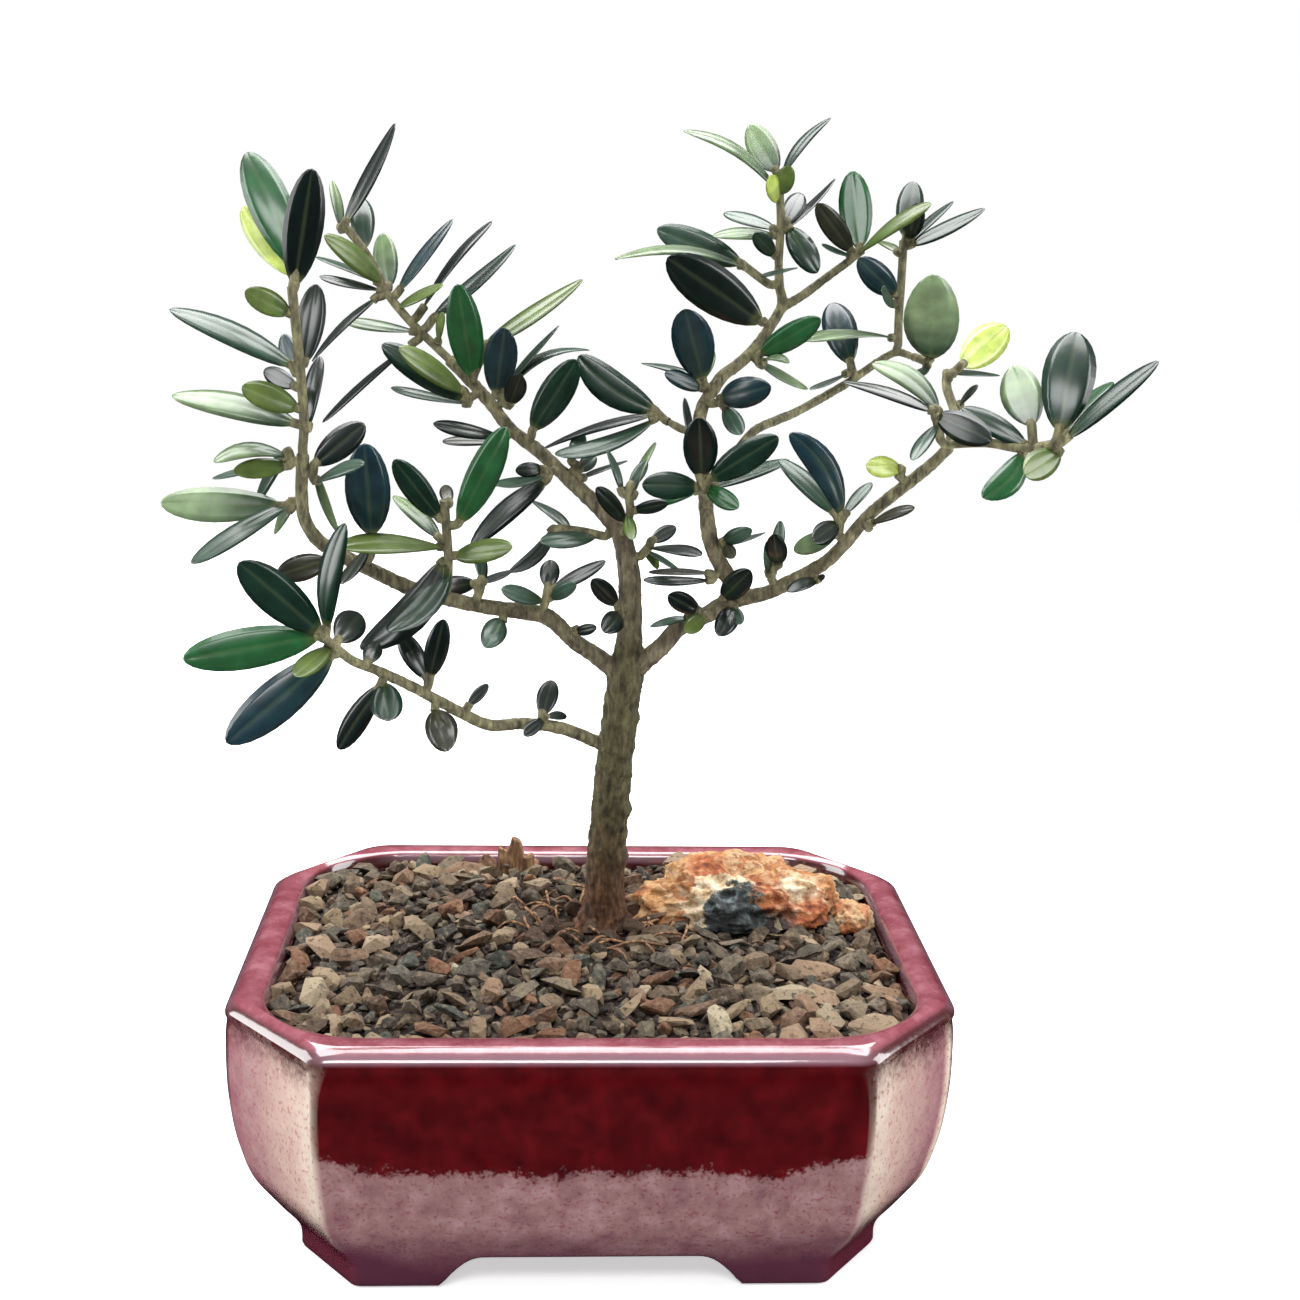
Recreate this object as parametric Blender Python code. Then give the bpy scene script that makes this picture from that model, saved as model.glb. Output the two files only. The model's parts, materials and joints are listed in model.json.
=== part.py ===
"""Young olive bonsai in an eight-sided glazed pot.

Units in the tables are millimetres and become metres on the way into Blender.
X runs to the right, Y away from the front of the pot, Z up, and the table is at Z = 0.

The tree was measured by eye against an upright plane through the trunk, as it looks from EYE.
A place in the tables is (x, z) on that plane, and a depth behind it (negative in front of it).
"""
import bpy
import bmesh
from math import acos, copysign, cos, pi, sin, sqrt
from mathutils import Quaternion, Vector, noise

MM = 0.001
EYE = Vector((-10.1, -426.1, 223.5))
GAP = 0.3
SLACK = 0.03

# Pot: the outline at each height, and the pocket for the soil
RIM_HEIGHT = 58.0
FLOOR_HEIGHT = 14.0
POT_OUTLINES = [
    # height, half width, half depth, half length of the front panel, half length of the side panel
    (0.0, 62.8, 56.0, 50.0, 39.0),
    (6.5, 63.8, 56.5, 50.5, 39.0),
    (9.5, 66.6, 57.8, 52.5, 39.2),
    (15.0, 72.2, 61.5, 55.2, 39.5),
    (24.0, 76.2, 64.6, 56.2, 39.5),
    (34.0, 78.1, 66.5, 56.8, 39.5),
    (46.0, 78.6, 67.0, 57.0, 39.6),
    (53.0, 78.3, 66.4, 56.6, 39.4),
    (56.8, 77.3, 64.9, 56.0, 39.2),
    (58.0, 75.4, 63.0, 55.2, 38.6),
]
MOUTH_HALF = (70.0, 57.0)
MOUTH_CORNER = 24.0
POCKET_FOOT_HALF = (63.0, 50.0)
POCKET_FOOT_CORNER = 19.0
CORNER_STEPS = 5
FOOT_WALL = 13.0
UNDER_HEIGHT = 7.6
UNDER_CORNER = 6.0
FRONT_ARCH_HALF = 27.0
SIDE_ARCH_HALF = 20.0
ARCH_CUT_REACH = 100.0
ARCH_END = [
    # distance out beyond the arch's half span, height
    (5.0, -2.0), (4.2, 1.0), (1.6, 4.4), (-0.4, 6.2), (-5.0, UNDER_HEIGHT),
]
DRAIN_RADIUS = 6.0
DRAIN_OFFSET = 30.0
DRAIN_SIDES = 16

# Soil: level at the pot's wall, and the height that the middle rises above it
SOIL_EDGE = 53.6
SOIL_RISE = 2.4
SOIL_RINGS = [
    # share of the way out from the middle, share of the rise
    (0.78, 0.5), (0.5, 0.82), (0.22, 1.0),
]

# Stones and bark chip: centre, half sizes and how rough the lump is
STONE = ((35.0, 17.5, 57.5), (22.8, 15.6, 11.6), 0.26)
SMALL_STONE = ((63.2, 12.6, 56.0), (5.4, 6.8, 5.0), 0.22)
LUMP_WAVES = 1.7
CHIP_FOOT = (-18.0, 50.0)
CHIP_SIZE = (9.0, 2.6, 10.5)
CHIP_TILT = 0.16
CHIP_OUTLINE = [
    # share of the width, share of the height
    (-0.5, -0.4), (0.45, -0.4), (0.5, 0.62), (0.2, 0.5), (0.1, 0.92), (-0.16, 1.0), (-0.26, 0.68), (-0.5, 0.8),
]

# Wood: each limb is a route of (x, z, depth, radius), read on the trunk plane
TRUNK = [
    (2.9, 54.0, 10.0, 7.0), (3.1, 60.0, 10.0, 5.9), (3.2, 65.0, 9.0, 4.9), (3.3, 75.0, 8.0, 4.3),
    (4.3, 90.0, 6.0, 4.1), (5.0, 100.0, 4.0, 3.9), (6.0, 110.0, 2.0, 3.8), (7.1, 119.0, 0.0, 3.9),
    (7.6, 124.0, 0.0, 3.3), (7.8, 130.0, 0.0, 2.6), (7.7, 140.0, 0.0, 2.4), (6.6, 148.0, 0.0, 2.2),
    (4.8, 153.5, 2.0, 2.0), (-1.0, 159.5, 5.0, 1.6), (-5.5, 163.5, 7.0, 1.5), (-12.5, 170.0, 10.0, 1.4),
    (-19.0, 175.0, 12.0, 1.3), (-23.0, 180.0, 14.0, 1.3), (-26.5, 184.0, 15.0, 1.25),
    (-32.5, 190.0, 17.0, 1.2),
]
LEFT_LIMB = [
    (7.0, 119.5, 0.0, 3.0), (3.5, 122.0, -0.5, 2.6), (0.0, 124.5, -1.0, 2.3), (-5.0, 128.0, -3.0, 2.1),
    (-8.5, 131.5, -5.0, 2.0), (-11.5, 133.5, -6.0, 2.0), (-16.0, 134.2, -7.0, 1.8),
    (-25.0, 135.4, -9.0, 1.7), (-33.0, 137.0, -11.0, 1.6), (-41.5, 139.5, -14.0, 1.5),
    (-50.0, 143.5, -17.0, 1.4), (-56.0, 146.4, -19.0, 1.4), (-61.5, 150.0, -21.0, 1.3),
    (-64.2, 154.5, -23.0, 1.25), (-64.8, 160.0, -24.0, 1.2), (-64.4, 169.0, -26.0, 1.2),
]
LOW_BRANCH = [
    (4.6, 102.6, 3.6, 1.9), (0.3, 104.4, 1.0, 1.35), (-5.5, 106.8, -3.0, 1.3), (-11.0, 108.0, -7.0, 1.2),
    (-17.0, 108.3, -11.0, 1.2), (-23.5, 107.9, -15.0, 1.15), (-29.5, 110.5, -20.0, 1.1),
    (-35.0, 113.5, -24.0, 1.05), (-42.5, 117.5, -30.0, 1.0), (-48.5, 120.3, -34.0, 1.0),
]
RIGHT_LIMB = [
    (7.6, 120.5, 0.0, 2.9), (11.5, 123.4, -1.0, 2.5), (15.5, 127.0, -2.0, 2.3), (18.5, 130.6, -2.5, 2.1),
    (22.0, 132.6, -3.0, 2.0), (26.0, 134.6, -4.0, 1.9), (29.5, 136.8, -5.0, 1.8), (33.5, 138.0, -6.0, 1.6),
    (39.0, 139.4, -8.0, 1.45), (45.0, 142.5, -10.0, 1.4), (51.0, 146.0, -12.0, 1.35),
    (55.5, 150.5, -14.0, 1.3), (60.7, 157.0, -16.0, 1.25), (67.5, 163.0, -19.0, 1.2),
    (73.5, 168.0, -22.0, 1.15), (78.0, 172.6, -24.0, 1.05),
]
RISER = [
    (29.5, 136.8, -5.0, 1.9), (31.0, 140.5, -6.0, 1.7), (28.5, 144.5, -7.0, 1.7), (25.8, 150.0, -8.0, 1.6),
    (24.6, 156.0, -7.0, 1.5), (24.0, 161.0, -4.0, 1.45), (23.0, 168.0, 2.0, 1.4), (22.3, 175.0, 6.0, 1.35),
    (22.7, 180.0, 9.0, 1.3), (24.8, 184.0, 11.0, 1.3), (27.0, 187.3, 12.0, 1.25), (30.8, 190.3, 14.0, 1.2),
    (34.0, 193.6, 16.0, 1.15), (37.0, 198.0, 18.0, 1.1), (39.6, 203.0, 20.0, 1.05),
    (38.9, 207.0, 21.0, 0.95), (38.6, 211.4, 22.0, 0.85),
]
CROWN_TWIG = [
    (39.2, 202.2, 19.7, 1.0), (44.0, 205.1, 22.0, 0.9), (48.0, 208.2, 25.0, 0.85), (53.0, 212.0, 28.0, 0.8),
]
CROSS_BRANCH = [
    (24.0, 161.0, -4.0, 1.2), (30.0, 170.0, 4.0, 0.9), (34.5, 175.5, 9.0, 0.9), (39.5, 178.0, 13.0, 0.9),
    (44.5, 180.3, 17.0, 0.85), (54.5, 186.3, 24.0, 0.85), (60.0, 190.2, 26.0, 0.8), (65.0, 193.2, 27.0, 0.8),
    (69.0, 192.3, 23.0, 0.7),
]
LITTLE_TWIG = [
    (22.3, 175.0, 6.0, 1.0), (18.7, 175.6, 7.0, 0.8), (15.5, 177.2, 9.0, 0.7),
]
LIMBS = [TRUNK, LEFT_LIMB, LOW_BRANCH, RIGHT_LIMB, RISER, CROWN_TWIG, CROSS_BRANCH, LITTLE_TWIG]
SOCKET_SLACK = 0.08
SIDES_OF_LIMB = 3
SIDES_OF_TWIG = 1

# Leafy shoots: name, twig as (x, z, depth) points with one radius, and leaves.
# A leaf is (base x, base z, tip x, tip z, seen width, lean of the tip away from the eye, tone, bend).
# The bend is how far the middle of the leaf swings to the left of its line, and may be left out.
SHOOTS = [
    ("left_upright_shoot", 0.8, [(-64.4, 170.5, -26.3), (-64.0, 176.0, -27.0), (-64.5, 186.0, -29.0),
                                 (-65.4, 197.0, -31.0), (-66.0, 204.0, -32.0)], [
        (-65.5, 205.0, -61.3, 229.6, 7.8, -4.0, "dark"),
        (-65.0, 209.0, -75.0, 233.2, 8.6, 10.0, "green"),
        (-65.5, 207.0, -75.8, 221.0, 6.6, 14.0, "lime"),
        (-66.5, 199.2, -76.0, 203.8, 5.0, -7.0, "olive"),
        (-66.0, 188.0, -91.8, 200.4, 5.0, -5.0, "grey"),
        (-65.6, 186.5, -68.0, 194.5, 4.0, 8.0, "blue"),
        (-65.5, 183.5, -72.5, 187.0, 4.0, 9.0, "dark"),
        (-65.5, 175.5, -92.3, 182.2, 5.6, 4.0, "pale"),
        (-65.0, 178.8, -77.6, 183.6, 5.6, -12.0, "olive"),
        (-63.8, 188.5, -60.8, 205.6, 5.8, 6.0, "dark"),
        (-63.2, 174.5, -60.8, 190.5, 3.6, 8.0, "dark"),
    ]),
    ("left_side_shoot", 0.7, [(-66.6, 167.4, -25.0)], [
        (-67.6, 168.4, -83.6, 167.4, 3.2, -10.0, "pale", -1.5),
        (-67.4, 166.4, -79.6, 165.0, 4.2, -4.0, "olive"),
        (-67.2, 167.0, -84.2, 163.4, 1.6, 4.0, "grey"),
        (-67.6, 169.6, -76.6, 155.6, 2.8, 14.0, "grey"),
    ]),
    ("left_low_shoot", 0.7, [(-66.8, 158.4, -23.5)], [
        (-69.0, 157.4, -95.2, 157.4, 7.4, 6.0, "pale"),
        (-67.2, 158.4, -89.4, 144.4, 4.0, -8.0, "grey"),
        (-67.0, 157.0, -71.5, 151.6, 2.4, 9.0, "pale"),
    ]),
    ("left_inner_shoot", 0.7, [(-62.6, 164.6, -25.5)], [
        (-62.0, 166.6, -50.9, 175.8, 6.2, 6.0, "dark"),
        (-61.8, 163.0, -51.6, 167.4, 2.4, -12.0, "grey"),
        (-62.0, 164.4, -57.5, 152.0, 2.0, 16.0, "pale"),
    ]),
    ("left_blue_shoot", 0.7, [(-50.0, 146.4, -18.5), (-49.8, 149.6, -20.0)], [
        (-49.7, 151.0, -51.0, 170.8, 9.4, -9.0, "blue"),
        (-50.6, 148.6, -56.0, 139.6, 3.0, -15.0, "dark"),
    ]),
    ("centre_left_shoot", 1.2, [(-33.0, 140.0, -13.0), (-32.8, 147.0, -16.0), (-33.2, 153.0, -18.0),
                                (-33.6, 158.0, -19.0)], [
        (-30.6, 154.0, -19.6, 175.6, 7.0, -7.0, "green"),
        (-34.6, 155.0, -44.6, 168.0, 5.8, -3.0, "deep"),
        (-34.6, 150.6, -44.6, 160.6, 3.6, 9.0, "pale"),
        (-34.0, 148.8, -56.6, 147.6, 4.4, -17.0, "olive", -1.0),
        (-31.6, 146.8, -18.6, 148.8, 5.0, -13.0, "olive"),
        (-34.0, 145.6, -52.4, 125.6, 7.6, -12.0, "dark", 3.0),
        (-33.0, 144.0, -46.0, 128.6, 6.0, -20.0, "deep", 1.5),
        (-32.6, 158.4, -33.6, 162.6, 3.0, 8.0, "brown"),
    ]),
    ("left_under_leaf", 0.7, [(-58.6, 146.0, -22.5)], [
        (-59.2, 145.4, -70.6, 142.0, 5.6, -8.0, "brown"),
    ]),
    ("low_rosette_shoot", 0.75, [(-48.9, 120.5, -34.3), (-54.0, 122.5, -38.0), (-57.3, 125.0, -41.0),
                                 (-60.2, 127.6, -43.0)], [
        (-61.4, 128.2, -91.9, 122.6, 8.4, -5.0, "green"),
        (-61.0, 129.0, -79.2, 144.9, 8.4, -8.0, "deep"),
        (-60.0, 129.4, -55.4, 153.8, 4.8, -3.0, "deep", 1.0),
        (-58.6, 124.0, -82.7, 103.3, 8.8, -10.0, "blue"),
        (-59.2, 126.0, -67.2, 118.4, 4.4, -15.0, "olive"),
        (-57.6, 127.0, -52.4, 133.6, 6.6, 12.0, "dark"),
        (-51.2, 121.8, -48.4, 127.4, 4.0, 7.0, "dark"),
    ]),
    ("low_hanging_shoot", 0.7, [(-47.6, 118.0, -33.5)], [
        (-47.2, 117.6, -46.4, 108.0, 6.8, -12.0, "deep"),
        (-48.0, 117.0, -57.8, 102.0, 5.2, 5.0, "dark"),
    ]),
    ("low_upper_shoot", 0.7, [(-37.4, 117.0, -25.5)], [
        (-37.4, 118.4, -43.6, 129.2, 4.8, 5.0, "dark"),
        (-37.0, 118.8, -33.9, 132.0, 5.0, -5.0, "dark"),
    ]),
    ("low_round_leaf", 0.7, [(-35.8, 112.0, -25.6)], [
        (-35.6, 111.6, -33.2, 102.4, 6.8, -12.0, "brown"),
    ]),
    ("low_tiny_leaf", 0.6, [(-28.4, 112.2, -19.8)], [
        (-28.4, 112.4, -24.0, 117.4, 2.6, 5.0, "dark"),
    ]),
    ("low_near_shoot", 0.65, [(-11.0, 109.8, -8.0)], [
        (-11.8, 110.2, -9.4, 118.6, 4.8, 7.0, "dark"),
        (-10.6, 109.8, -5.9, 110.6, 2.2, 7.0, "dark"),
        (-11.2, 109.6, -16.0, 105.4, 3.0, -7.0, "dark"),
    ]),
    ("limb_hanging_leaf", 0.6, [(-20.6, 132.4, -9.6)], [
        (-20.8, 132.6, -24.2, 126.4, 5.4, -9.0, "grey"),
    ]),
    ("limb_upper_shoot", 0.65, [(-11.2, 136.4, -8.0), (-10.8, 138.8, -9.0)], [
        (-11.6, 136.8, -21.4, 139.2, 3.8, -9.0, "grey"),
        (-10.6, 139.6, -10.0, 146.2, 4.5, 8.0, "dark"),
        (-10.4, 137.4, -4.6, 140.6, 3.4, -7.0, "grey"),
        (-9.6, 139.4, 2.2, 145.8, 3.2, 5.0, "dark"),
    ]),
    ("limb_tiny_leaf", 0.6, [(-4.8, 130.0, -4.6)], [
        (-4.6, 129.6, 0.4, 130.9, 2.6, -5.0, "dark"),
    ]),
    ("limb_dark_shoot", 0.65, [(-26.0, 138.4, -10.8)], [
        (-26.4, 140.6, -35.4, 139.6, 4.4, 6.0, "dark"),
        (-25.6, 140.6, -18.8, 143.4, 1.8, 9.0, "dark"),
        (-25.4, 141.0, -26.4, 150.0, 3.2, 16.0, "grey"),
    ]),
    ("leader_left_shoot", 0.65, [(2.0, 151.6, 3.0), (-3.0, 152.6, 4.0), (-8.0, 153.2, 5.0)], [
        (0.0, 151.8, -12.6, 149.6, 4.0, -12.0, "grey"),
        (-9.6, 153.2, -19.2, 143.2, 3.4, -6.0, "dark", 1.6),
        (-6.0, 153.0, -14.0, 160.0, 2.6, 14.0, "grey"),
    ]),
    ("leader_front_leaves", 0.6, [(5.4, 135.0, -4.6)], [
        (5.0, 136.0, -0.8, 141.8, 4.4, -8.0, "dark"),
        (5.8, 134.0, 2.4, 130.2, 5.0, -10.0, "dark"),
    ]),
    ("limb_front_shoot", 0.65, [(-10.6, 165.6, 5.6)], [
        (-11.0, 164.2, -28.2, 149.4, 5.0, -6.0, "dark"),
        (-11.6, 165.0, -22.4, 162.0, 2.6, -14.0, "grey"),
        (-11.8, 166.4, -18.0, 166.0, 3.4, -5.0, "dark"),
    ]),
    ("limb_brown_shoot", 0.65, [(-20.4, 173.0, 10.6)], [
        (-21.2, 173.4, -36.2, 175.6, 3.4, -5.0, "dark"),
        (-21.0, 172.2, -34.0, 172.4, 2.6, 8.0, "brown"),
    ]),
    ("limb_olive_shoot", 0.7, [(-28.2, 181.6, 11.5)], [
        (-29.2, 183.2, -43.4, 192.2, 5.0, -13.0, "olive"),
        (-28.8, 181.4, -46.8, 193.0, 6.6, -5.0, "deep"),
        (-28.4, 180.4, -45.2, 183.2, 2.0, 4.0, "grey"),
    ]),
    ("limb_tall_shoot", 0.7, [(-27.0, 187.0, 12.0), (-26.0, 189.4, 11.5)], [
        (-27.4, 185.8, -30.6, 205.6, 7.8, -12.0, "green"),
        (-25.0, 193.0, -3.4, 207.0, 3.8, 4.0, "olive"),
    ]),
    ("limb_grey_shoot", 0.7, [(-20.8, 181.4, 11.5), (-20.4, 183.4, 11.0)], [
        (-22.4, 182.6, -20.4, 197.4, 7.4, -8.0, "blue"),
        (-20.6, 183.8, -8.8, 197.8, 1.5, 6.0, "grey"),
        (-20.0, 183.4, -2.4, 193.4, 2.2, 12.0, "grey", 2.4),
        (-19.4, 180.2, -16.8, 187.4, 4.8, -9.0, "dark"),
    ]),
    ("limb_dark_leaf", 0.65, [(-14.6, 173.6, 9.0)], [
        (-14.4, 174.8, -4.8, 190.4, 7.4, -9.0, "deep"),
    ]),
    ("limb_small_shoot", 0.65, [(-5.4, 166.0, 7.4), (-4.6, 167.4, 8.0)], [
        (-5.8, 168.4, -3.2, 175.0, 3.6, 7.0, "grey"),
        (-4.2, 166.2, -0.6, 169.2, 3.4, 9.0, "grey"),
        (-3.6, 164.4, 6.4, 168.6, 1.3, 13.0, "grey"),
    ]),
    ("upper_left_shoot", 0.95, [(-32.9, 190.5, 17.4), (-37.5, 194.7, 18.5), (-41.5, 198.7, 19.5),
                                (-45.5, 203.6, 20.5), (-47.6, 208.0, 21.5), (-51.0, 213.4, 23.0),
                                (-54.4, 217.6, 24.0)], [
        (-39.8, 195.8, -55.2, 197.6, 2.6, 8.0, "pale"),
        (-40.0, 193.6, -60.2, 176.0, 1.8, 5.0, "dark"),
        (-48.0, 203.0, -62.6, 189.6, 1.8, -6.0, "dark"),
        (-46.8, 204.4, -60.2, 206.8, 2.0, 3.0, "dark"),
        (-47.4, 206.0, -60.6, 211.4, 1.6, 12.0, "grey"),
        (-46.8, 206.4, -58.5, 215.8, 4.8, -13.0, "olive"),
        (-54.6, 218.4, -43.2, 238.9, 3.4, 5.0, "dark"),
        (-55.4, 217.0, -57.0, 227.2, 2.6, 9.0, "pale"),
        (-50.4, 213.2, -51.2, 224.4, 5.6, 10.0, "grey"),
        (-45.4, 205.0, -46.6, 216.2, 5.6, 10.0, "pale"),
        (-43.4, 204.2, -31.8, 219.8, 3.0, 8.0, "blue"),
        (-38.4, 200.4, -24.2, 220.2, 2.2, 12.0, "dark"),
        (-36.0, 198.6, -18.0, 214.0, 3.2, 16.0, "deep"),
        (-43.6, 201.0, -33.8, 205.8, 2.4, -8.0, "olive"),
        (-35.0, 193.4, -34.0, 199.8, 1.8, -9.0, "olive"),
    ]),
    ("centre_tuft", 0.65, [(6.0, 152.4, -0.6), (7.4, 157.0, -3.0), (7.0, 161.0, -4.0)], [
        (6.6, 155.0, -0.2, 162.4, 4.0, -9.0, "dark"),
        (5.6, 161.4, 2.4, 171.2, 1.8, 3.0, "grey"),
        (7.2, 162.6, 10.8, 168.4, 2.8, 6.0, "grey"),
        (8.0, 157.4, 15.8, 159.2, 3.0, -6.0, "dark"),
        (8.0, 160.6, 12.0, 173.0, 2.0, 12.0, "pale"),
        (6.8, 156.6, 8.0, 150.6, 3.0, -9.0, "olive"),
    ]),
    ("leader_right_shoot", 0.6, [(9.8, 147.2, -0.6), (11.8, 149.4, -1.0)], [
        (12.0, 149.2, 23.4, 148.2, 2.2, -14.0, "dark"),
        (12.2, 150.6, 17.4, 153.8, 3.4, 9.0, "dark"),
        (11.4, 148.2, 19.6, 143.6, 1.4, 7.0, "grey"),
        (10.6, 148.0, 14.6, 145.0, 2.6, 9.0, "olive"),
    ]),
    ("riser_left_leaves", 0.6, [(26.6, 143.0, -8.4)], [
        (26.0, 142.0, 10.6, 141.2, 2.2, -5.0, "dark"),
        (25.8, 143.4, 11.8, 143.8, 1.6, 9.0, "brown"),
    ]),
    ("right_small_shoot", 0.6, [(39.4, 142.4, -8.8), (40.0, 145.2, -9.6)], [
        (38.8, 143.4, 38.0, 150.8, 2.0, -7.0, "grey"),
        (41.0, 145.6, 39.6, 152.0, 4.8, -9.0, "dark"),
        (40.2, 146.4, 41.0, 155.4, 3.0, 9.0, "grey"),
    ]),
    ("right_under_leaf", 0.6, [(49.0, 142.8, -12.6)], [
        (49.8, 142.6, 43.4, 139.8, 2.8, -9.0, "dark"),
        (49.6, 142.2, 51.6, 143.4, 1.4, -4.0, "dark"),
    ]),
    ("fork_front_leaves", 0.6, [(22.8, 134.2, -6.6)], [
        (23.6, 134.8, 16.0, 138.6, 4.5, -6.0, "dark"),
        (24.6, 134.0, 20.4, 130.0, 4.0, -9.0, "olive"),
        (21.4, 133.4, 12.4, 131.4, 1.8, -3.0, "grey"),
    ]),
    ("fork_dark_leaves", 0.6, [(29.4, 137.4, -8.6)], [
        (28.4, 137.6, 34.7, 144.2, 5.6, -8.0, "dark"),
        (31.4, 135.8, 28.2, 129.6, 5.0, -9.0, "dark"),
        (30.6, 136.0, 33.0, 131.6, 3.2, -6.0, "grey"),
    ]),
    ("riser_grey_leaf", 0.6, [(27.6, 150.4, -7.6)], [
        (28.0, 150.8, 34.4, 153.4, 3.4, -7.0, "grey"),
        (28.0, 149.8, 37.8, 152.6, 1.2, 5.0, "grey"),
        (28.6, 150.2, 30.8, 147.0, 3.0, -9.0, "brown"),
    ]),
    ("front_rosette_shoot", 0.7, [(24.2, 159.0, -7.2), (23.6, 161.6, -10.0), (23.6, 163.4, -13.0)], [
        (22.6, 163.0, 9.6, 163.3, 6.0, -7.0, "deep"),
        (23.2, 164.8, 22.2, 178.2, 7.4, -9.0, "dark"),
        (24.8, 164.6, 39.6, 174.2, 6.6, -6.0, "deep"),
        (24.0, 162.8, 31.8, 158.2, 4.2, -9.0, "green"),
        (25.6, 162.8, 42.4, 169.4, 3.2, 7.0, "grey"),
        (22.4, 162.2, 12.8, 159.2, 3.0, 10.0, "green"),
        (22.6, 165.6, 18.4, 182.4, 1.6, 7.0, "dark"),
    ]),
    ("little_twig_shoot", 0.6, [(15.1, 177.4, 9.3), (13.0, 179.2, 10.0)], [
        (12.6, 179.6, -4.6, 191.2, 7.8, 6.0, "deep", 1.5),
        (12.2, 178.8, -13.2, 171.4, 2.0, 8.0, "dark"),
        (12.4, 177.8, -9.2, 169.0, 3.8, -5.0, "grey", 1.5),
    ]),
    ("riser_right_shoot", 0.65, [(25.2, 181.4, 7.6), (27.0, 181.8, 6.0)], [
        (26.6, 182.6, 37.2, 185.2, 6.8, -12.0, "blue"),
        (27.6, 180.8, 31.8, 174.4, 4.4, -8.0, "grey"),
    ]),
    ("riser_left_shoot", 0.65, [(23.2, 185.4, 10.2)], [
        (22.8, 186.4, 18.3, 202.4, 9.2, -14.0, "blue"),
        (22.8, 184.6, 14.4, 187.8, 3.8, -9.0, "blue"),
        (22.2, 186.6, 9.3, 190.5, 1.8, 9.0, "grey"),
        (22.6, 186.4, 24.6, 192.6, 3.0, 12.0, "olive"),
    ]),
    ("limb_right_shoot", 0.65, [(34.8, 190.8, 14.4)], [
        (35.0, 192.2, 48.2, 200.2, 5.8, -10.0, "green"),
        (35.4, 190.6, 41.6, 190.8, 1.6, -6.0, "pale", 1.0),
        (35.2, 190.2, 45.6, 184.8, 2.2, 9.0, "pale"),
    ]),
    ("round_leaf_shoot", 0.6, [(55.6, 189.2, 23.6)], [
        (55.2, 190.6, 50.3, 204.2, 8.0, 9.0, "blue"),
        (54.6, 188.6, 46.6, 184.4, 1.4, -8.0, "grey"),
    ]),
    ("big_dark_leaf", 0.7, [(36.0, 199.2, 17.0)], [
        (35.4, 199.2, 14.0, 212.8, 10.6, -9.0, "dark"),
    ]),
    ("crossing_shoot", 0.6, [(36.6, 207.4, 20.0), (33.6, 209.4, 18.5), (31.4, 211.0, 17.5)], [
        (30.6, 211.6, 12.0, 218.6, 7.0, 6.0, "grey"),
        (30.8, 211.2, 3.2, 213.2, 2.2, -7.0, "pale", -1.6),
        (34.4, 209.2, 42.8, 210.6, 1.2, -9.0, "grey"),
    ]),
    ("top_shoot", 0.75, [(38.6, 211.8, 22.2), (38.7, 220.5, 24.0), (38.3, 226.0, 26.0), (38.1, 229.0, 26.6)], [
        (37.4, 227.6, 17.8, 239.8, 2.6, -7.0, "pale", -1.6),
        (37.4, 231.0, 31.4, 240.2, 6.8, 9.0, "pale"),
        (38.8, 230.6, 48.6, 242.6, 2.4, 4.0, "deep", 1.0),
        (38.2, 226.4, 40.0, 232.0, 4.6, -9.0, "olive"),
        (38.0, 224.8, 35.6, 230.4, 3.6, -12.0, "lime"),
        (39.8, 220.4, 43.0, 226.8, 5.0, 11.0, "dark"),
        (40.4, 219.6, 46.8, 210.4, 6.0, -10.0, "deep"),
        (39.8, 219.0, 50.2, 229.2, 1.6, 15.0, "dark"),
        (37.6, 219.0, 26.4, 222.4, 3.0, 12.0, "grey"),
        (37.6, 217.8, 24.4, 217.8, 2.8, -9.0, "pale"),
        (37.8, 213.4, 32.8, 218.4, 4.0, -10.0, "deep"),
    ]),
    ("crown_right_shoot", 0.7, [(53.4, 212.3, 28.3), (55.2, 213.9, 29.4)], [
        (56.0, 215.2, 53.7, 231.3, 7.8, 8.0, "green"),
        (54.4, 214.6, 46.4, 224.6, 5.4, -9.0, "brown"),
        (55.8, 214.4, 70.6, 225.6, 3.0, -12.0, "olive"),
        (54.4, 213.8, 47.6, 215.6, 1.4, -7.0, "grey"),
    ]),
    ("upright_twig_shoot", 0.85, [(65.4, 194.6, 27.2), (65.3, 200.0, 28.0), (65.4, 206.0, 29.0),
                                  (65.5, 212.0, 30.0), (65.5, 216.4, 31.0)], [
        (66.0, 217.6, 67.0, 229.8, 6.4, 10.0, "deep"),
        (66.4, 217.4, 68.4, 224.8, 5.0, -8.0, "dark"),
        (66.8, 216.2, 83.2, 223.9, 3.4, -6.0, "deep"),
        (66.8, 217.0, 75.7, 225.8, 2.2, 9.0, "deep"),
        (64.4, 205.6, 56.2, 212.8, 6.4, -10.0, "blue"),
        (64.4, 203.6, 60.8, 206.6, 3.0, -13.0, "grey"),
        (64.4, 196.4, 44.4, 195.4, 2.2, -16.0, "pale", -1.0),
        (64.6, 214.6, 59.6, 217.6, 2.0, 12.0, "olive"),
    ]),
    ("big_round_leaf_shoot", 0.6, [(69.4, 192.2, 22.6), (72.0, 191.2, 20.0)], [
        (72.8, 191.8, 72.2, 208.8, 12.4, -10.0, "pale"),
        (72.2, 190.4, 69.6, 187.6, 2.4, -9.0, "grey"),
    ]),
    ("lime_leaf_shoot", 0.8, [(78.2, 175.0, -22.0), (78.8, 180.0, -19.0), (76.8, 185.5, -14.0),
                              (76.6, 188.6, -11.0)], [
        (79.6, 190.6, 88.7, 198.9, 8.2, 9.0, "lime"),
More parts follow.
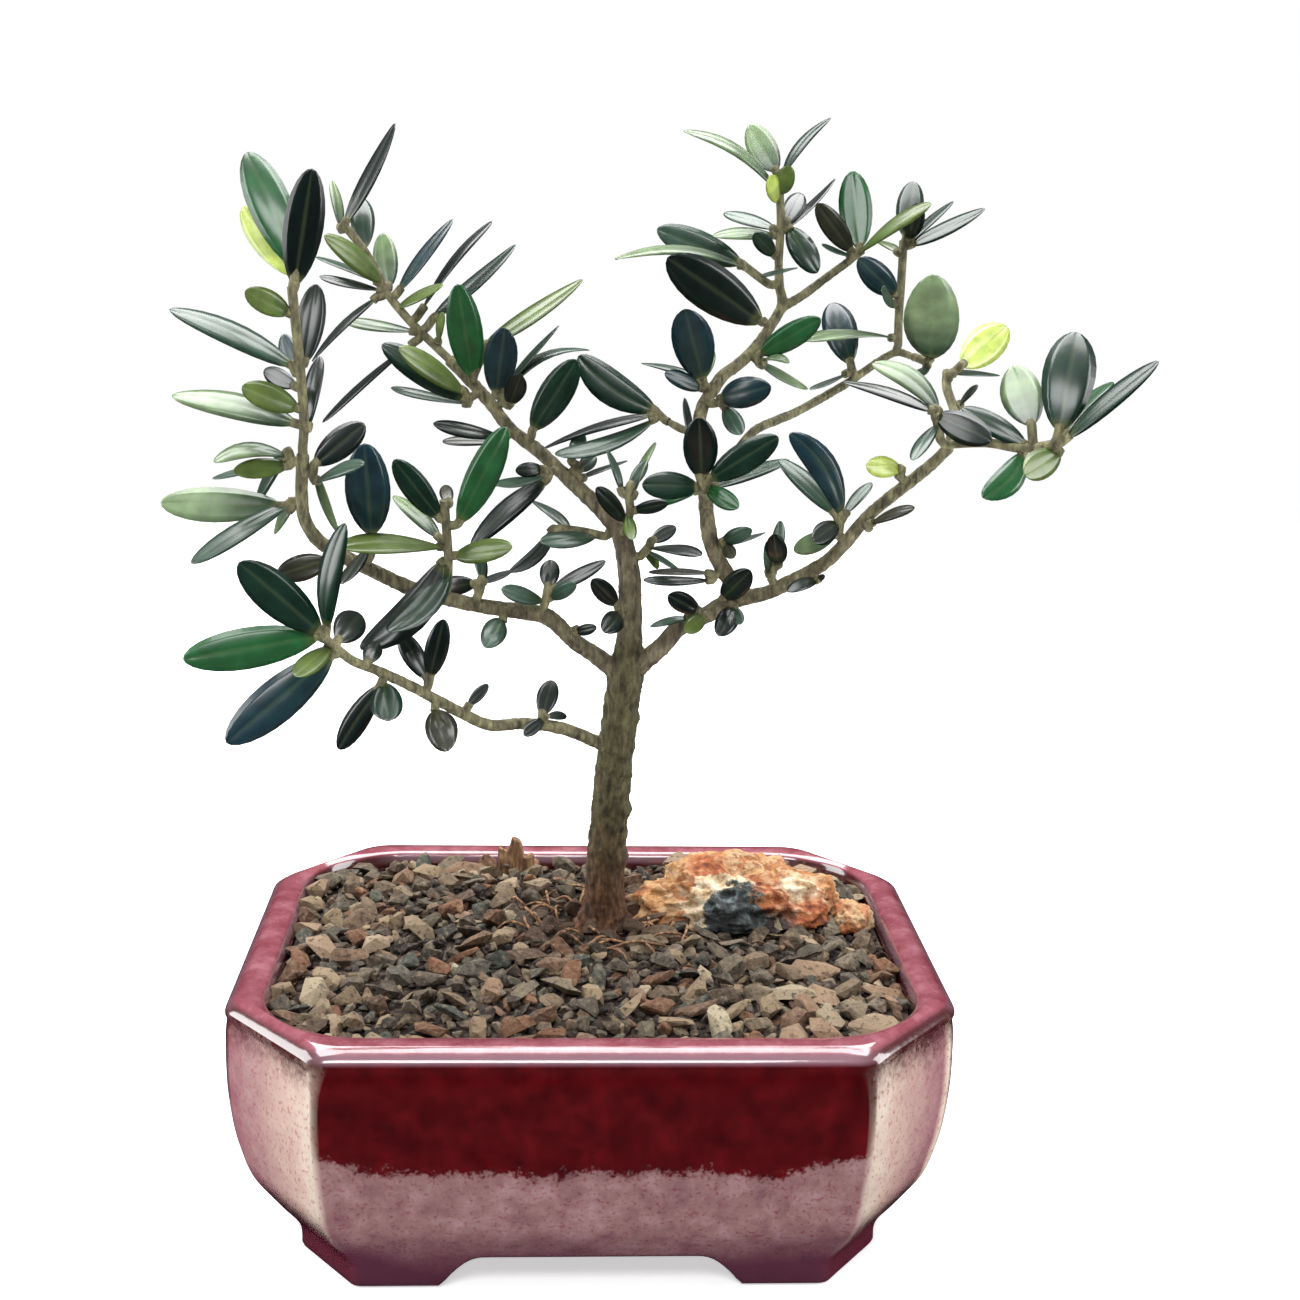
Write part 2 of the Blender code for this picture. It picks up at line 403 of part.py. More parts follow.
        (77.4, 188.8, 88.0, 188.8, 1.4, 12.0, "grey"),
        (79.4, 181.6, 83.4, 186.4, 1.4, -6.0, "dark"),
    ]),
    ("right_dark_shoot", 0.65, [(76.0, 174.2, -25.0), (75.0, 178.4, -27.0)], [
        (74.6, 179.6, 87.4, 174.2, 6.4, -12.0, "dark"),
        (74.2, 180.4, 53.8, 187.4, 2.6, 6.0, "dark"),
        (75.2, 180.6, 60.0, 190.4, 4.6, 12.0, "pale", -2.0),
        (74.8, 177.6, 70.0, 169.6, 3.0, -10.0, "grey"),
    ]),
    ("right_rosette_shoot", 0.65, [(78.5, 173.0, -24.3), (86.5, 173.7, -28.0), (94.5, 172.6, -33.0),
                                   (101.5, 173.6, -37.0)], [
        (102.4, 176.6, 104.9, 199.0, 10.8, 5.0, "deep"),
        (96.2, 177.6, 91.2, 190.0, 8.6, 13.0, "pale"),
        (104.0, 174.8, 123.6, 192.4, 4.0, -5.0, "deep"),
        (103.4, 175.6, 112.9, 188.4, 3.4, 14.0, "green"),
        (103.0, 172.0, 94.7, 166.4, 6.2, -9.0, "olive"),
        (94.8, 171.6, 86.2, 161.4, 6.0, -8.0, "green", 1.4),
        (95.4, 173.2, 80.3, 181.7, 4.6, 8.0, "deep"),
    ]),
    ("right_lime_leaf", 0.65, [(67.2, 166.0, -20.4)], [
        (67.6, 167.6, 59.2, 168.4, 4.6, -8.0, "lime"),
    ]),
    ("right_inner_shoot", 0.7, [(54.2, 152.4, -15.2), (54.4, 155.6, -16.0)], [
        (54.8, 157.0, 42.4, 175.2, 6.2, -5.0, "blue", -2.0),
        (53.4, 157.2, 40.4, 169.8, 4.4, 7.0, "grey"),
        (54.0, 155.4, 48.2, 150.8, 4.8, -9.0, "dark"),
        (53.6, 152.8, 44.2, 148.8, 4.4, 9.0, "pale"),
        (55.2, 157.0, 60.9, 164.8, 2.6, 6.0, "grey"),
    ]),
    ("right_outer_leaf", 0.6, [(60.6, 154.6, -17.2)], [
        (61.0, 155.2, 70.7, 159.2, 2.3, -8.0, "brown"),
    ]),
]

# Leaf blade: share of the length from the base, and width as a share of the full width
BLADE_STATIONS = [(0.0, 0.22), (0.18, 0.72), (0.5, 1.0), (0.82, 0.62)]
BLADE_THICK = 0.9
EDGE_TAPER = (1.15, 0.6)
PETIOLE_HALF = 0.5
LONG_STALK = 1.2
SLIMMEST_LEAF = 0.3
BROADEST_LEAF = 0.44
ARCH_OF_LEAF = 0.04
ROOT_DEPTH = 0.17
ROOT_STEP = 0.043

# A shoot's twig: its first step off the bark, and how much thinner it is at its far end
SPUR_STEP = 0.7
SPUR_TIP_GAP = 0.15
SPUR_LEAF_SHARE = 0.75
TWIG_TAPER = 0.25

# Hair-wide shifts that are tried in turn when a joint comes out open
NUDGES = [
    (0.0, 0.0, 0.0), (0.05, 0.02, 0.03), (-0.04, 0.05, -0.02), (0.03, -0.06, 0.05), (-0.07, -0.03, 0.06),
    (0.09, 0.04, -0.08), (-0.02, 0.1, 0.09), (0.11, -0.09, 0.02),
]

TONES = {
    "dark": (0.010, 0.030, 0.018), "deep": (0.012, 0.060, 0.025), "blue": (0.016, 0.050, 0.045),
    "green": (0.040, 0.130, 0.040), "olive": (0.150, 0.200, 0.050), "lime": (0.420, 0.520, 0.160),
    "pale": (0.300, 0.360, 0.280), "grey": (0.080, 0.120, 0.100), "brown": (0.080, 0.070, 0.050),
}


def clear_scene():
    for thing in list(bpy.data.objects):
        bpy.data.objects.remove(thing, do_unlink=True)


def new_collection(name):
    group = bpy.data.collections.new(name)
    bpy.context.scene.collection.children.link(group)
    return group


def coat(thing, name, colour, roughness):
    """Give a sub-part its own plain material."""
    material = bpy.data.materials.new(name)
    material.use_nodes = True
    shader = material.node_tree.nodes["Principled BSDF"]
    shader.inputs["Base Color"].default_value = (*colour, 1.0)
    shader.inputs["Roughness"].default_value = roughness
    thing.data.materials.clear()
    thing.data.materials.append(material)


def solid(name, points, faces, group):
    """An object from points in millimetres and faces that close round a body."""
    mesh = bpy.data.meshes.new(name)
    mesh.from_pydata([tuple(Vector(p) * MM) for p in points], [], faces)
    tidy = bmesh.new()
    tidy.from_mesh(mesh)
    bmesh.ops.recalc_face_normals(tidy, faces=tidy.faces)
    tidy.to_mesh(mesh)
    tidy.free()
    thing = bpy.data.objects.new(name, mesh)
    group.objects.link(thing)
    return thing


def as_cutter(thing):
    thing.hide_render = True
    thing.display_type = "WIRE"
    return thing


def cut(thing, cutter):
    """Leave a live cut on the object."""
    change = thing.modifiers.new(cutter.name, "BOOLEAN")
    change.operation = "DIFFERENCE"
    change.solver = "EXACT"
    change.object = cutter


def closed_volume(mesh):
    """The volume of a mesh that is one closed body, or zero for anything else."""
    body = bmesh.new()
    body.from_mesh(mesh)
    body.verts.ensure_lookup_table()
    reached = set()
    waiting = [body.verts[0]] if len(body.faces) else []
    while waiting:
        vert = waiting.pop()
        if vert.index in reached:
            continue
        reached.add(vert.index)
        waiting.extend(edge.other_vert(vert) for edge in vert.link_edges)
    whole = len(body.faces) > 0 and len(reached) == len(body.verts)
    whole = whole and all(edge.is_manifold for edge in body.edges)
    volume = body.calc_volume() if whole else 0.0
    body.free()
    return volume


def weld(thing, extra):
    """Join one closed body to another and drop the second.

    Where two edges fall exactly on each other the join can come out open, so it is tried again
    with the second body nudged by a hair until the result is one closed body.
    """
    before = closed_volume(thing.data)
    change = thing.modifiers.new("weld", "BOOLEAN")
    change.operation = "UNION"
    change.solver = "EXACT"
    change.object = extra
    for nudge in NUDGES:
        extra.location = Vector(nudge) * MM
        bpy.context.view_layer.update()
        depsgraph = bpy.context.evaluated_depsgraph_get()
        mesh = bpy.data.meshes.new_from_object(thing.evaluated_get(depsgraph))
        if closed_volume(mesh) > before:
            break
    else:
        print("left open:", extra.name)
    thing.modifiers.clear()
    thing.data = mesh
    bpy.data.objects.remove(extra, do_unlink=True)


def seen(x, z, depth):
    """The point at a depth behind the trunk plane that looks as if it lay at (x, z) on that plane."""
    on_plane = Vector((x, 0.0, z))
    return EYE + (on_plane - EYE) * ((depth - EYE.y) / -EYE.y)


def loft(name, rings, group, tip=None):
    """Skin a stack of rings with the same number of points; a tip closes the far end in a point."""
    points = [p for ring in rings for p in ring]
    count = len(rings[0])
    faces = [tuple(reversed(range(count)))]
    for level in range(len(rings) - 1):
        low = level * count
        for i in range(count):
            j = (i + 1) % count
            faces.append((low + i, low + j, low + count + j, low + count + i))
    last = (len(rings) - 1) * count
    if tip is None:
        faces.append(tuple(range(last, last + count)))
    else:
        points.append(tip)
        for i in range(count):
            faces.append((last + i, last + (i + 1) % count, len(points) - 1))
    return solid(name, points, faces, group)


def tube(name, points, radii, roundness, group):
    """A round limb along a route, made as a bevelled curve and turned into a closed mesh."""
    curve = bpy.data.curves.new(name, "CURVE")
    curve.dimensions = "3D"
    curve.bevel_depth = MM
    curve.bevel_resolution = roundness
    curve.use_fill_caps = True
    spline = curve.splines.new("POLY")
    spline.points.add(len(points) - 1)
    for slot, point, radius in zip(spline.points, points, radii):
        slot.co = (*(point * MM), 1.0)
        slot.radius = radius
    holder = bpy.data.objects.new(name, curve)
    group.objects.link(holder)
    bpy.context.view_layer.update()
    depsgraph = bpy.context.evaluated_depsgraph_get()
    mesh = bpy.data.meshes.new_from_object(holder.evaluated_get(depsgraph))
    bpy.data.objects.remove(holder, do_unlink=True)
    tidy = bmesh.new()
    tidy.from_mesh(mesh)
    bmesh.ops.remove_doubles(tidy, verts=tidy.verts, dist=0.00001)
    bmesh.ops.recalc_face_normals(tidy, faces=tidy.faces)
    tidy.to_mesh(mesh)
    tidy.free()
    thing = bpy.data.objects.new(name, mesh)
    group.objects.link(thing)
    return thing


def pot_ring(row):
    """One eight-sided outline of the pot, running round from the right end of the front panel."""
    height, half_width, half_depth, front, side = row
    return [
        (front, -half_depth, height), (half_width, -side, height),
        (half_width, side, height), (front, half_depth, height),
        (-front, half_depth, height), (-half_width, side, height),
        (-half_width, -side, height), (-front, -half_depth, height),
    ]


def rounded_ring(half_width, half_depth, corner, height):
    """One rounded-rectangle outline."""
    ring = []
    for turn, (sx, sy) in enumerate([(1, -1), (1, 1), (-1, 1), (-1, -1)]):
        centre_x = sx * (half_width - corner)
        centre_y = sy * (half_depth - corner)
        for step in range(CORNER_STEPS + 1):
            angle = -pi / 2 + turn * pi / 2 + step / CORNER_STEPS * pi / 2
            ring.append((centre_x + corner * cos(angle), centre_y + corner * sin(angle), height))
    return ring


def pocket_ring(height, inset):
    """The soil pocket's outline at a height, drawn in by an inset."""
    rise = (height - FLOOR_HEIGHT) / (RIM_HEIGHT - FLOOR_HEIGHT)
    half_width = POCKET_FOOT_HALF[0] + (MOUTH_HALF[0] - POCKET_FOOT_HALF[0]) * rise
    half_depth = POCKET_FOOT_HALF[1] + (MOUTH_HALF[1] - POCKET_FOOT_HALF[1]) * rise
    corner = POCKET_FOOT_CORNER + (MOUTH_CORNER - POCKET_FOOT_CORNER) * rise
    return rounded_ring(half_width - inset, half_depth - inset, corner - inset, height)


def arch_cutter(name, half_span, along_x, group):
    """The gap between two feet: a low wide arch that runs right through under the body."""
    profile = [(-half_span - out, height) for out, height in ARCH_END]
    profile += [(half_span + out, height) for out, height in reversed(ARCH_END)]
    rings = []
    for end in (-ARCH_CUT_REACH, ARCH_CUT_REACH):
        if along_x:
            rings.append([(end, across, height) for across, height in profile])
        else:
            rings.append([(across, end, height) for across, height in profile])
    return as_cutter(loft(name, rings, group))


def drain_cutter(name, x, group):
    rings = []
    for height in (0.0, FLOOR_HEIGHT + 4.0):
        ring = []
        for step in range(DRAIN_SIDES):
            angle = step / DRAIN_SIDES * 2 * pi
            ring.append((x + DRAIN_RADIUS * cos(angle), DRAIN_RADIUS * sin(angle), height))
        rings.append(ring)
    return as_cutter(loft(name, rings, group))


def build_pot(parts, cutters):
    pot = loft("pot", [pot_ring(row) for row in POT_OUTLINES], parts)
    pocket = loft("cut_pocket", [pocket_ring(FLOOR_HEIGHT, 0.0), pocket_ring(RIM_HEIGHT + 2.0, 0.0)], cutters)
    cut(pot, as_cutter(pocket))
    inner_width = POT_OUTLINES[0][1] - FOOT_WALL
    inner_depth = POT_OUTLINES[0][2] - FOOT_WALL
    under = [rounded_ring(inner_width, inner_depth, UNDER_CORNER, height) for height in (-2.0, UNDER_HEIGHT)]
    cut(pot, as_cutter(loft("cut_under", under, cutters)))
    cut(pot, arch_cutter("cut_front_arch", FRONT_ARCH_HALF, False, cutters))
    cut(pot, arch_cutter("cut_side_arch", SIDE_ARCH_HALF, True, cutters))
    for name, x in (("cut_left_drain", -DRAIN_OFFSET), ("cut_right_drain", DRAIN_OFFSET)):
        cut(pot, drain_cutter(name, x, cutters))
    coat(pot, "oxblood_glaze", (0.16, 0.006, 0.012), 0.2)


def soil_body(name, lift, group):
    """The bed of grit, a low mound; lifted a little it serves to trim what lies on it."""
    wall = GAP + SLACK
    rings = [pocket_ring(FLOOR_HEIGHT + GAP, wall), pocket_ring(SOIL_EDGE, wall)]
    for share, rise in SOIL_RINGS:
        rings.append([(x * share, y * share, SOIL_EDGE + SOIL_RISE * rise) for x, y, _ in rings[1]])
    if lift:
        rings = [[(x, y, height + lift) for x, y, height in ring] for ring in rings]
    return loft(name, rings, group)


def build_soil(parts, cutters):
    soil = soil_body("soil", 0.0, parts)
    foot = [seen(x, z, depth) for x, z, depth, _ in TRUNK[:3]]
    foot[0] = foot[0] + (foot[0] - foot[1]).normalized() * GAP
    radii = [row[3] + GAP + SOCKET_SLACK for row in TRUNK[:3]]
    cut(soil, as_cutter(tube("cut_trunk_socket", foot, radii, SIDES_OF_LIMB, cutters)))
    coat(soil, "grit_soil", (0.09, 0.06, 0.04), 0.9)


def lump(name, spec, seed, group):
    """A rough stone: a round body pushed in and out by smooth noise."""
    centre, half_sizes, roughness = spec
    ball = bmesh.new()
    bmesh.ops.create_icosphere(ball, subdivisions=2, radius=1.0)
    for vert in ball.verts:
        push = 1.0 + roughness * noise.noise(vert.co * LUMP_WAVES + Vector((seed, 0.0, 0.0)))
        vert.co = Vector([vert.co[k] * push * half_sizes[k] + centre[k] for k in range(3)]) * MM
    mesh = bpy.data.meshes.new(name)
    ball.to_mesh(mesh)
    ball.free()
    thing = bpy.data.objects.new(name, mesh)
    group.objects.link(thing)
    return thing


def build_stones(parts, cutters):
    ground = as_cutter(soil_body("cut_ground", GAP, cutters))
    stone = lump("ochre_stone", STONE, 4.0, parts)
    cut(stone, ground)
    coat(stone, "ochre_stone", (0.55, 0.33, 0.14), 0.8)
    small = lump("cream_stone", SMALL_STONE, 9.0, parts)
    cut(small, ground)
    coat(small, "cream_stone", (0.62, 0.45, 0.27), 0.8)
    width, thick, tall = CHIP_SIZE
    rings = []
    for side in (-0.5, 0.5):
        ring = []
        for across, up in CHIP_OUTLINE:
            x = CHIP_FOOT[0] + across * width
            y = CHIP_FOOT[1] + side * thick + up * tall * CHIP_TILT
            ring.append((x, y, SOIL_EDGE + up * tall))
        rings.append(ring)
    chip = loft("bark_chip", rings, parts)
    cut(chip, ground)
    coat(chip, "bark", (0.28, 0.18, 0.11), 0.85)


def limb_points(limb):
    return [seen(x, z, depth) for x, z, depth, _ in limb]


def build_wood(parts):
    """Trunk, limbs and branches, welded into one grown piece."""
    wood = None
    for number, limb in enumerate(LIMBS):
        piece = tube(f"limb_{number}", limb_points(limb), [row[3] for row in limb], SIDES_OF_LIMB, parts)
        if wood is None:
            wood = piece
            wood.name = "trunk_and_limbs"
        else:
            weld(wood, piece)
    coat(wood, "olive_bark", (0.16, 0.13, 0.09), 0.8)
    return wood


def nearest_on(points, target):
    """The place on a route that is nearest to a point, as segment number, share along it and place."""
    best = None
    for i in range(len(points) - 1):
        run = points[i + 1] - points[i]
        share = max(0.0, min(1.0, (target - points[i]).dot(run) / run.length_squared))
        place = points[i] + run * share
        if best is None or (place - target).length < (best[2] - target).length:
            best = (i, share, place)
    return best


def spur_start(target):
    """Where a shoot leaves the wood, a hair off the bark, and the first point it must clear."""
    best = None
    for limb in LIMBS:
        route = limb_points(limb)
        i, share, place = nearest_on(route, target)
        radius = limb[i][3] + (limb[i + 1][3] - limb[i][3]) * share
        away = (target - place).length - radius
        if best is None or away < best[0]:
            best = (away, limb, route, i, share, place, radius)
    _, limb, route, i, share, place, radius = best
    axis = (route[-1] - route[-2]).normalized()
    outward = (target - place).normalized()
    if i == len(route) - 2 and share > 0.98 and outward.dot(axis) > 0.6:
        start = place + axis * (GAP + SPUR_TIP_GAP)
        clear = axis * SPUR_STEP
    else:
        start = place + outward * (radius + GAP)
        clear = outward * SPUR_STEP
    if (target - start).length < SPUR_STEP or (target - start).dot(clear) <= 0.0:
        target = start + clear
    return start, target


def blade_frame(base, tip, width):
    """Length, width, and the across and face directions of a leaf that looks as wide as was read."""
    along = (tip - base).normalized()
    length = (tip - base).length
    to_eye = (EYE - (base + tip) / 2).normalized()
    full_width = max(width, SLIMMEST_LEAF * length)
    across = along.cross(to_eye).normalized()
    roll = acos(min(1.0, width / full_width))
    choices = []
    for sign in (1.0, -1.0):
        turned = across * cos(roll) + along.cross(across) * sin(sign * roll)
        face = turned.cross(along)
        if face.dot(to_eye) < 0.0:
            face = -face
        choices.append((face.z, turned, face))
    _, across, face = max(choices, key=lambda choice: choice[0])
    return length, full_width, along, across, face


def leaf_lean(row):
    """How far back the tip lies from the base; a leaf that looks too round for its kind leans more."""
    bx, bz, tx, tz, width, lean = row[:6]
    seen_length = sqrt((tx - bx) ** 2 + (tz - bz) ** 2)
    least = sqrt(max(0.0, (width / BROADEST_LEAF) ** 2 - seen_length ** 2))
    return copysign(max(abs(lean), least), lean)


def diamond(centre, half, thick):
    """A four-cornered ring across a leaf."""
    return [centre + half, centre + thick, centre - half, centre - thick]


def build_leaf(name, row, number, twig, group):
    """One leaf with its stalk, as a thin closed body that starts inside the twig.

    Each leaf of a shoot is rooted a hair deeper than the one before, so no two roots share an edge.
    """
    bx, bz, tx, tz, width = row[:5]
    bend = row[7] if len(row) > 7 else 0.0
    near = nearest_on(twig, seen(bx, bz, (twig[0].y + twig[-1].y) / 2))[2]
    base = seen(bx, bz, near.y)
    near = nearest_on(twig, base)[2]
    tip = seen(tx, tz, base.y + leaf_lean(row))
    length, full_width, along, across, face = blade_frame(base, tip, width)
    sideways = along.cross((EYE - base).normalized()).normalized() * -bend
    rings = []
    root = near - along * (ROOT_DEPTH + ROOT_STEP * number)
    stalk = base - root
    half_turn = Quaternion()
    if stalk.length > LONG_STALK:
        full_turn = along.rotation_difference(stalk.normalized())
        half_turn = Quaternion().slerp(full_turn, 0.5)
        rings.append(diamond(root, full_turn @ across * PETIOLE_HALF, full_turn @ face * PETIOLE_HALF))
    else:
        base = root
    for share, wide in BLADE_STATIONS:
        arch = 4.0 * share * (1.0 - share)
        centre = base.lerp(tip, share) + face * (arch * ARCH_OF_LEAF * length) + sideways * arch
        half = across * max(PETIOLE_HALF, full_width * wide / 2)
        thick = face * (BLADE_THICK / 2 * (EDGE_TAPER[0] - EDGE_TAPER[1] * share))
        if share == 0.0:
            half = half_turn @ half
            thick = half_turn @ thick
        rings.append(diamond(centre, half, thick))
    return loft(name, rings, group, tip=tip)


def build_shoot(spec, parts):
    """A young twig and its leaves, welded into one grown piece."""
    name, radius, places, leaves = spec
    twig = [seen(*place) for place in places]
    start, first = spur_start(twig[0])
    twig = [start, first] + twig[1:]
    leafy = [start.lerp(first, SPUR_LEAF_SHARE)] + twig[1:]
    radii = [radius * (1.0 - TWIG_TAPER * i / (len(twig) - 1)) for i in range(len(twig))]
    shoot = tube(name, twig, radii, SIDES_OF_TWIG, parts)
    for number, row in enumerate(leaves):
        weld(shoot, build_leaf(f"{name}_leaf_{number}", row, number, leafy, parts))
    shoot.name = name
    shoot.data.name = name
    coat(shoot, f"{name}_leaf", TONES[leaves[0][6]], 0.35)


def centre_on_table(parts, cutters):
    """Slide everything so that the middle of the whole outline stands over the origin."""
    bpy.context.view_layer.update()
    depsgraph = bpy.context.evaluated_depsgraph_get()
    points = []
    for thing in parts.objects:
        mesh = thing.evaluated_get(depsgraph).data
        points.extend(vert.co.copy() for vert in mesh.vertices)
    low = Vector([min(p[k] for p in points) for k in range(3)])
    high = Vector([max(p[k] for p in points) for k in range(3)])
    shift = Vector((-(low.x + high.x) / 2, -(low.y + high.y) / 2, -low.z))
    for thing in list(parts.objects) + list(cutters.objects):
        for vert in thing.data.vertices:
            vert.co += shift
    print("slid by", [round(v / MM, 3) for v in shift])


def main():
    clear_scene()
    parts = new_collection("olive_bonsai")
    cutters = new_collection("olive_bonsai_cutters")
    build_pot(parts, cutters)
    build_soil(parts, cutters)
    build_stones(parts, cutters)
    build_wood(parts)
    for spec in SHOOTS:
        build_shoot(spec, parts)
    centre_on_table(parts, cutters)


main()
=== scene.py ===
# %% [markdown]
# # A young olive tree in a glazed pot
# The object is a bonsai: an olive not much taller than a hand is long, in an eight-sided stoneware pot
# of oxblood glaze, with a bed of crushed grit, two rough stones and a chip of bark. Every mesh is in metres
# and in one shared frame: X to the right, Y away from the front of the pot, Z up. Sizes are written in
# millimetres, as a maker would measure them, and times MM they are metres.
#
# The CAD model is loaded first. It is the measured frame: each finer piece here stands where its
# CAD node stands, and keeps to its size.

# %% Load the measured frame
import json
from math import acos, copysign, cos, pi, radians, sin, sqrt
from random import Random

import bmesh
import bpy
import numpy as np
from mathutils import Matrix, Vector, kdtree, noise

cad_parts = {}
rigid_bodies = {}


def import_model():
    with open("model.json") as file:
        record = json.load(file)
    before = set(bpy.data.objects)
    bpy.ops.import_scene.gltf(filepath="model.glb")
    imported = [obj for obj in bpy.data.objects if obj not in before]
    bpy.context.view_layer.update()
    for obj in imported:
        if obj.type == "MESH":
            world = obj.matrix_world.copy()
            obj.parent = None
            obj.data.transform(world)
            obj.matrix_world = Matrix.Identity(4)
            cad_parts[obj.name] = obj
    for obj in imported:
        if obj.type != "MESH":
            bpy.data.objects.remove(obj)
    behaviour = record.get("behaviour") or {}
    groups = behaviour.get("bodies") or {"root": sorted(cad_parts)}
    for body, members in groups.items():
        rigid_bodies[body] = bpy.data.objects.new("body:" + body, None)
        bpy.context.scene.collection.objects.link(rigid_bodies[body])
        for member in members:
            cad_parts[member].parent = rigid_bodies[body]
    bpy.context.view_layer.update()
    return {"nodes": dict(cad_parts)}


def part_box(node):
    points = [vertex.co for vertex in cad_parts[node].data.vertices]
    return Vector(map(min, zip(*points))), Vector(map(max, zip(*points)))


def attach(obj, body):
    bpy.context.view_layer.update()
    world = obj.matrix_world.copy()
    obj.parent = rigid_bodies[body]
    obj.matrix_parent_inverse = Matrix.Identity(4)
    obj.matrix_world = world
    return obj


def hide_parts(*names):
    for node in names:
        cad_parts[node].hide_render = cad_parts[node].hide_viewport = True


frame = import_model()
MM = 0.001
pot_low, pot_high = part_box("pot")
POT_CENTRE = Vector(((pot_low.x + pot_high.x) / 2, 0.0, 0.0))
print("nodes loaded:", len(frame["nodes"]), "pot centre x in mm:", round(POT_CENTRE.x / MM, 2))


# %% [markdown]
# ## Small helpers
# Colours are picked as sRGB hex values, the way a paint chart gives them, and Blender mixes light in
# linear values, so one function turns the first into the second. One more adds a node to a tree with
# its settings and links, which keeps each material below down to a list of what it is made of. Most
# finishes are coats laid over each other, each where some measure of the surface runs from one value
# to another, so that step has a function too.

# %% Colours and nodes
def linear(hex_colour):
    """An sRGB hex colour as linear red, green, blue and alpha."""
    channels = [int(hex_colour[i:i + 2], 16) / 255 for i in (1, 3, 5)]
    return tuple(c / 12.92 if c <= 0.04045 else ((c + 0.055) / 1.055) ** 2.4 for c in channels) + (1.0,)


def fill(node, inputs):
    """Set a node's inputs: a socket or a node is linked, a hex colour made linear, a number set as it is."""
    for key, value in inputs.items():
        if isinstance(value, bpy.types.Node):
            value = next(output for output in value.outputs if output.enabled)
        if isinstance(value, bpy.types.NodeSocket):
            node.id_data.links.new(value, node.inputs[key])
        else:
            is_colour = isinstance(value, str) and value.startswith("#")
            node.inputs[key].default_value = linear(value) if is_colour else value


def add(tree, kind, inputs=None, stops=(), **settings):
    """Add a node, set its properties, fill its inputs, and place a ramp's stops."""
    node = tree.nodes.new(kind)
    for name, value in settings.items():
        setattr(node, name, value)
    fill(node, inputs or {})
    if stops:
        ramp = node.color_ramp
        while len(ramp.elements) < len(stops):
            ramp.elements.new(1.0)
        for element, (position, colour) in zip(ramp.elements, stops):
            element.position = position
            element.color = linear(colour) if isinstance(colour, str) else (colour, colour, colour, 1.0)
    return node


def lay_over(tree, colour, coat, value, start, full, most=1.0, **settings):
    """Lay a coat over a colour where a value runs from `start` to `full`, up to the share `most`."""
    share = add(tree, "ShaderNodeMapRange", {
        "Value": value, "From Min": start, "From Max": full, "To Max": most}, **settings)
    return add(tree, "ShaderNodeMix", {0: share, 6: colour, 7: coat}, data_type="RGBA")


def new_material(name):
    """An empty material, its node tree, its Principled shader, and places on the piece in metres."""
    material = bpy.data.materials.new(name)
    material.use_nodes = True
    tree = material.node_tree
    return material, tree, tree.nodes["Principled BSDF"], add(tree, "ShaderNodeTexCoord").outputs["Object"]


def per_mm(size):
    """The scale of a texture whose features are this many millimetres apart."""
    return 1.0 / (size * MM)


# %% [markdown]
# Every finished piece is a plain mesh at the origin. It rides on the one fixed body and hides the CAD node it
# stands for.

# %% Meshes and pieces
def in_scene(name, data):
    """A new object in the scene that holds this mesh, curve, light or camera."""
    thing = bpy.data.objects.new(name, data)
    bpy.context.scene.collection.objects.link(thing)
    return thing


def mesh_object(name, points, faces, smooth=True):
    """An object from points in metres and the faces that join them."""
    mesh = bpy.data.meshes.new(name)
    mesh.from_pydata([tuple(p) for p in points], [], faces)
    if smooth:
        mesh.shade_smooth()
    return in_scene(name, mesh)


def as_mesh(name, shape):
    """Turn a finished bmesh into a mesh."""
    mesh = bpy.data.meshes.new(name)
    shape.to_mesh(mesh)
    shape.free()
    return mesh


def outward(thing):
    """Turn a closed mesh's faces outwards."""
    tidy = bmesh.new()
    tidy.from_mesh(thing.data)
    bmesh.ops.recalc_face_normals(tidy, faces=tidy.faces)
    tidy.to_mesh(thing.data)
    tidy.free()


def remove(thing):
    """Take a helper object out of the scene for good."""
    bpy.data.objects.remove(thing, do_unlink=True)


def bake(thing):
    """Replace an object's mesh by what its modifiers make of it, and drop the modifiers."""
    bpy.context.view_layer.update()
    depsgraph = bpy.context.evaluated_depsgraph_get()
    mesh = bpy.data.meshes.new_from_object(thing.evaluated_get(depsgraph))
    thing.modifiers.clear()
    thing.data = mesh
    mesh.name = thing.name


def triangles(thing):
    return sum(len(face.vertices) - 2 for face in thing.data.polygons)


def stands_for(thing, node):
    """Hand a finished piece to the frame in place of its CAD node."""
    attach(thing, "root")
    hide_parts(node)
    print(thing.name, "triangles:", triangles(thing))


def mark(thing, sort, /, **marks):
    """Store one value for each point of a mesh, under each name given, for nodes to read."""
    field = {"FLOAT": "value", "FLOAT_VECTOR": "vector", "FLOAT_COLOR": "color", "INT": "value"}[sort]
    for name, values in marks.items():
        attribute = thing.data.attributes.new(name, sort, "POINT")
        attribute.data.foreach_set(field, np.asarray(values, dtype=int if sort == "INT" else float).ravel())


def add_voxels(thing, size):
    """Melt a shape into one even skin, with voxels of a size in mm."""
    melt = thing.modifiers.new("melt", "REMESH")
    melt.mode = "VOXEL"
    melt.voxel_size = size * MM
    melt.use_smooth_shade = True


# %% [markdown]
# ## Camera
# The view is the photograph's: from just below the height of the crown, looking down by about thirteen
# degrees, with a trace of yaw and roll. The lens is that of a 36 mm wide sensor in a square frame.

# %% Camera
EYE = Vector((-10.1, -426.1, 223.5))
PITCH_DOWN = 0.2252
YAW = -0.0530
ROLL = 0.0217
LENS_MM = 53.74
SENSOR_MM = 36.0


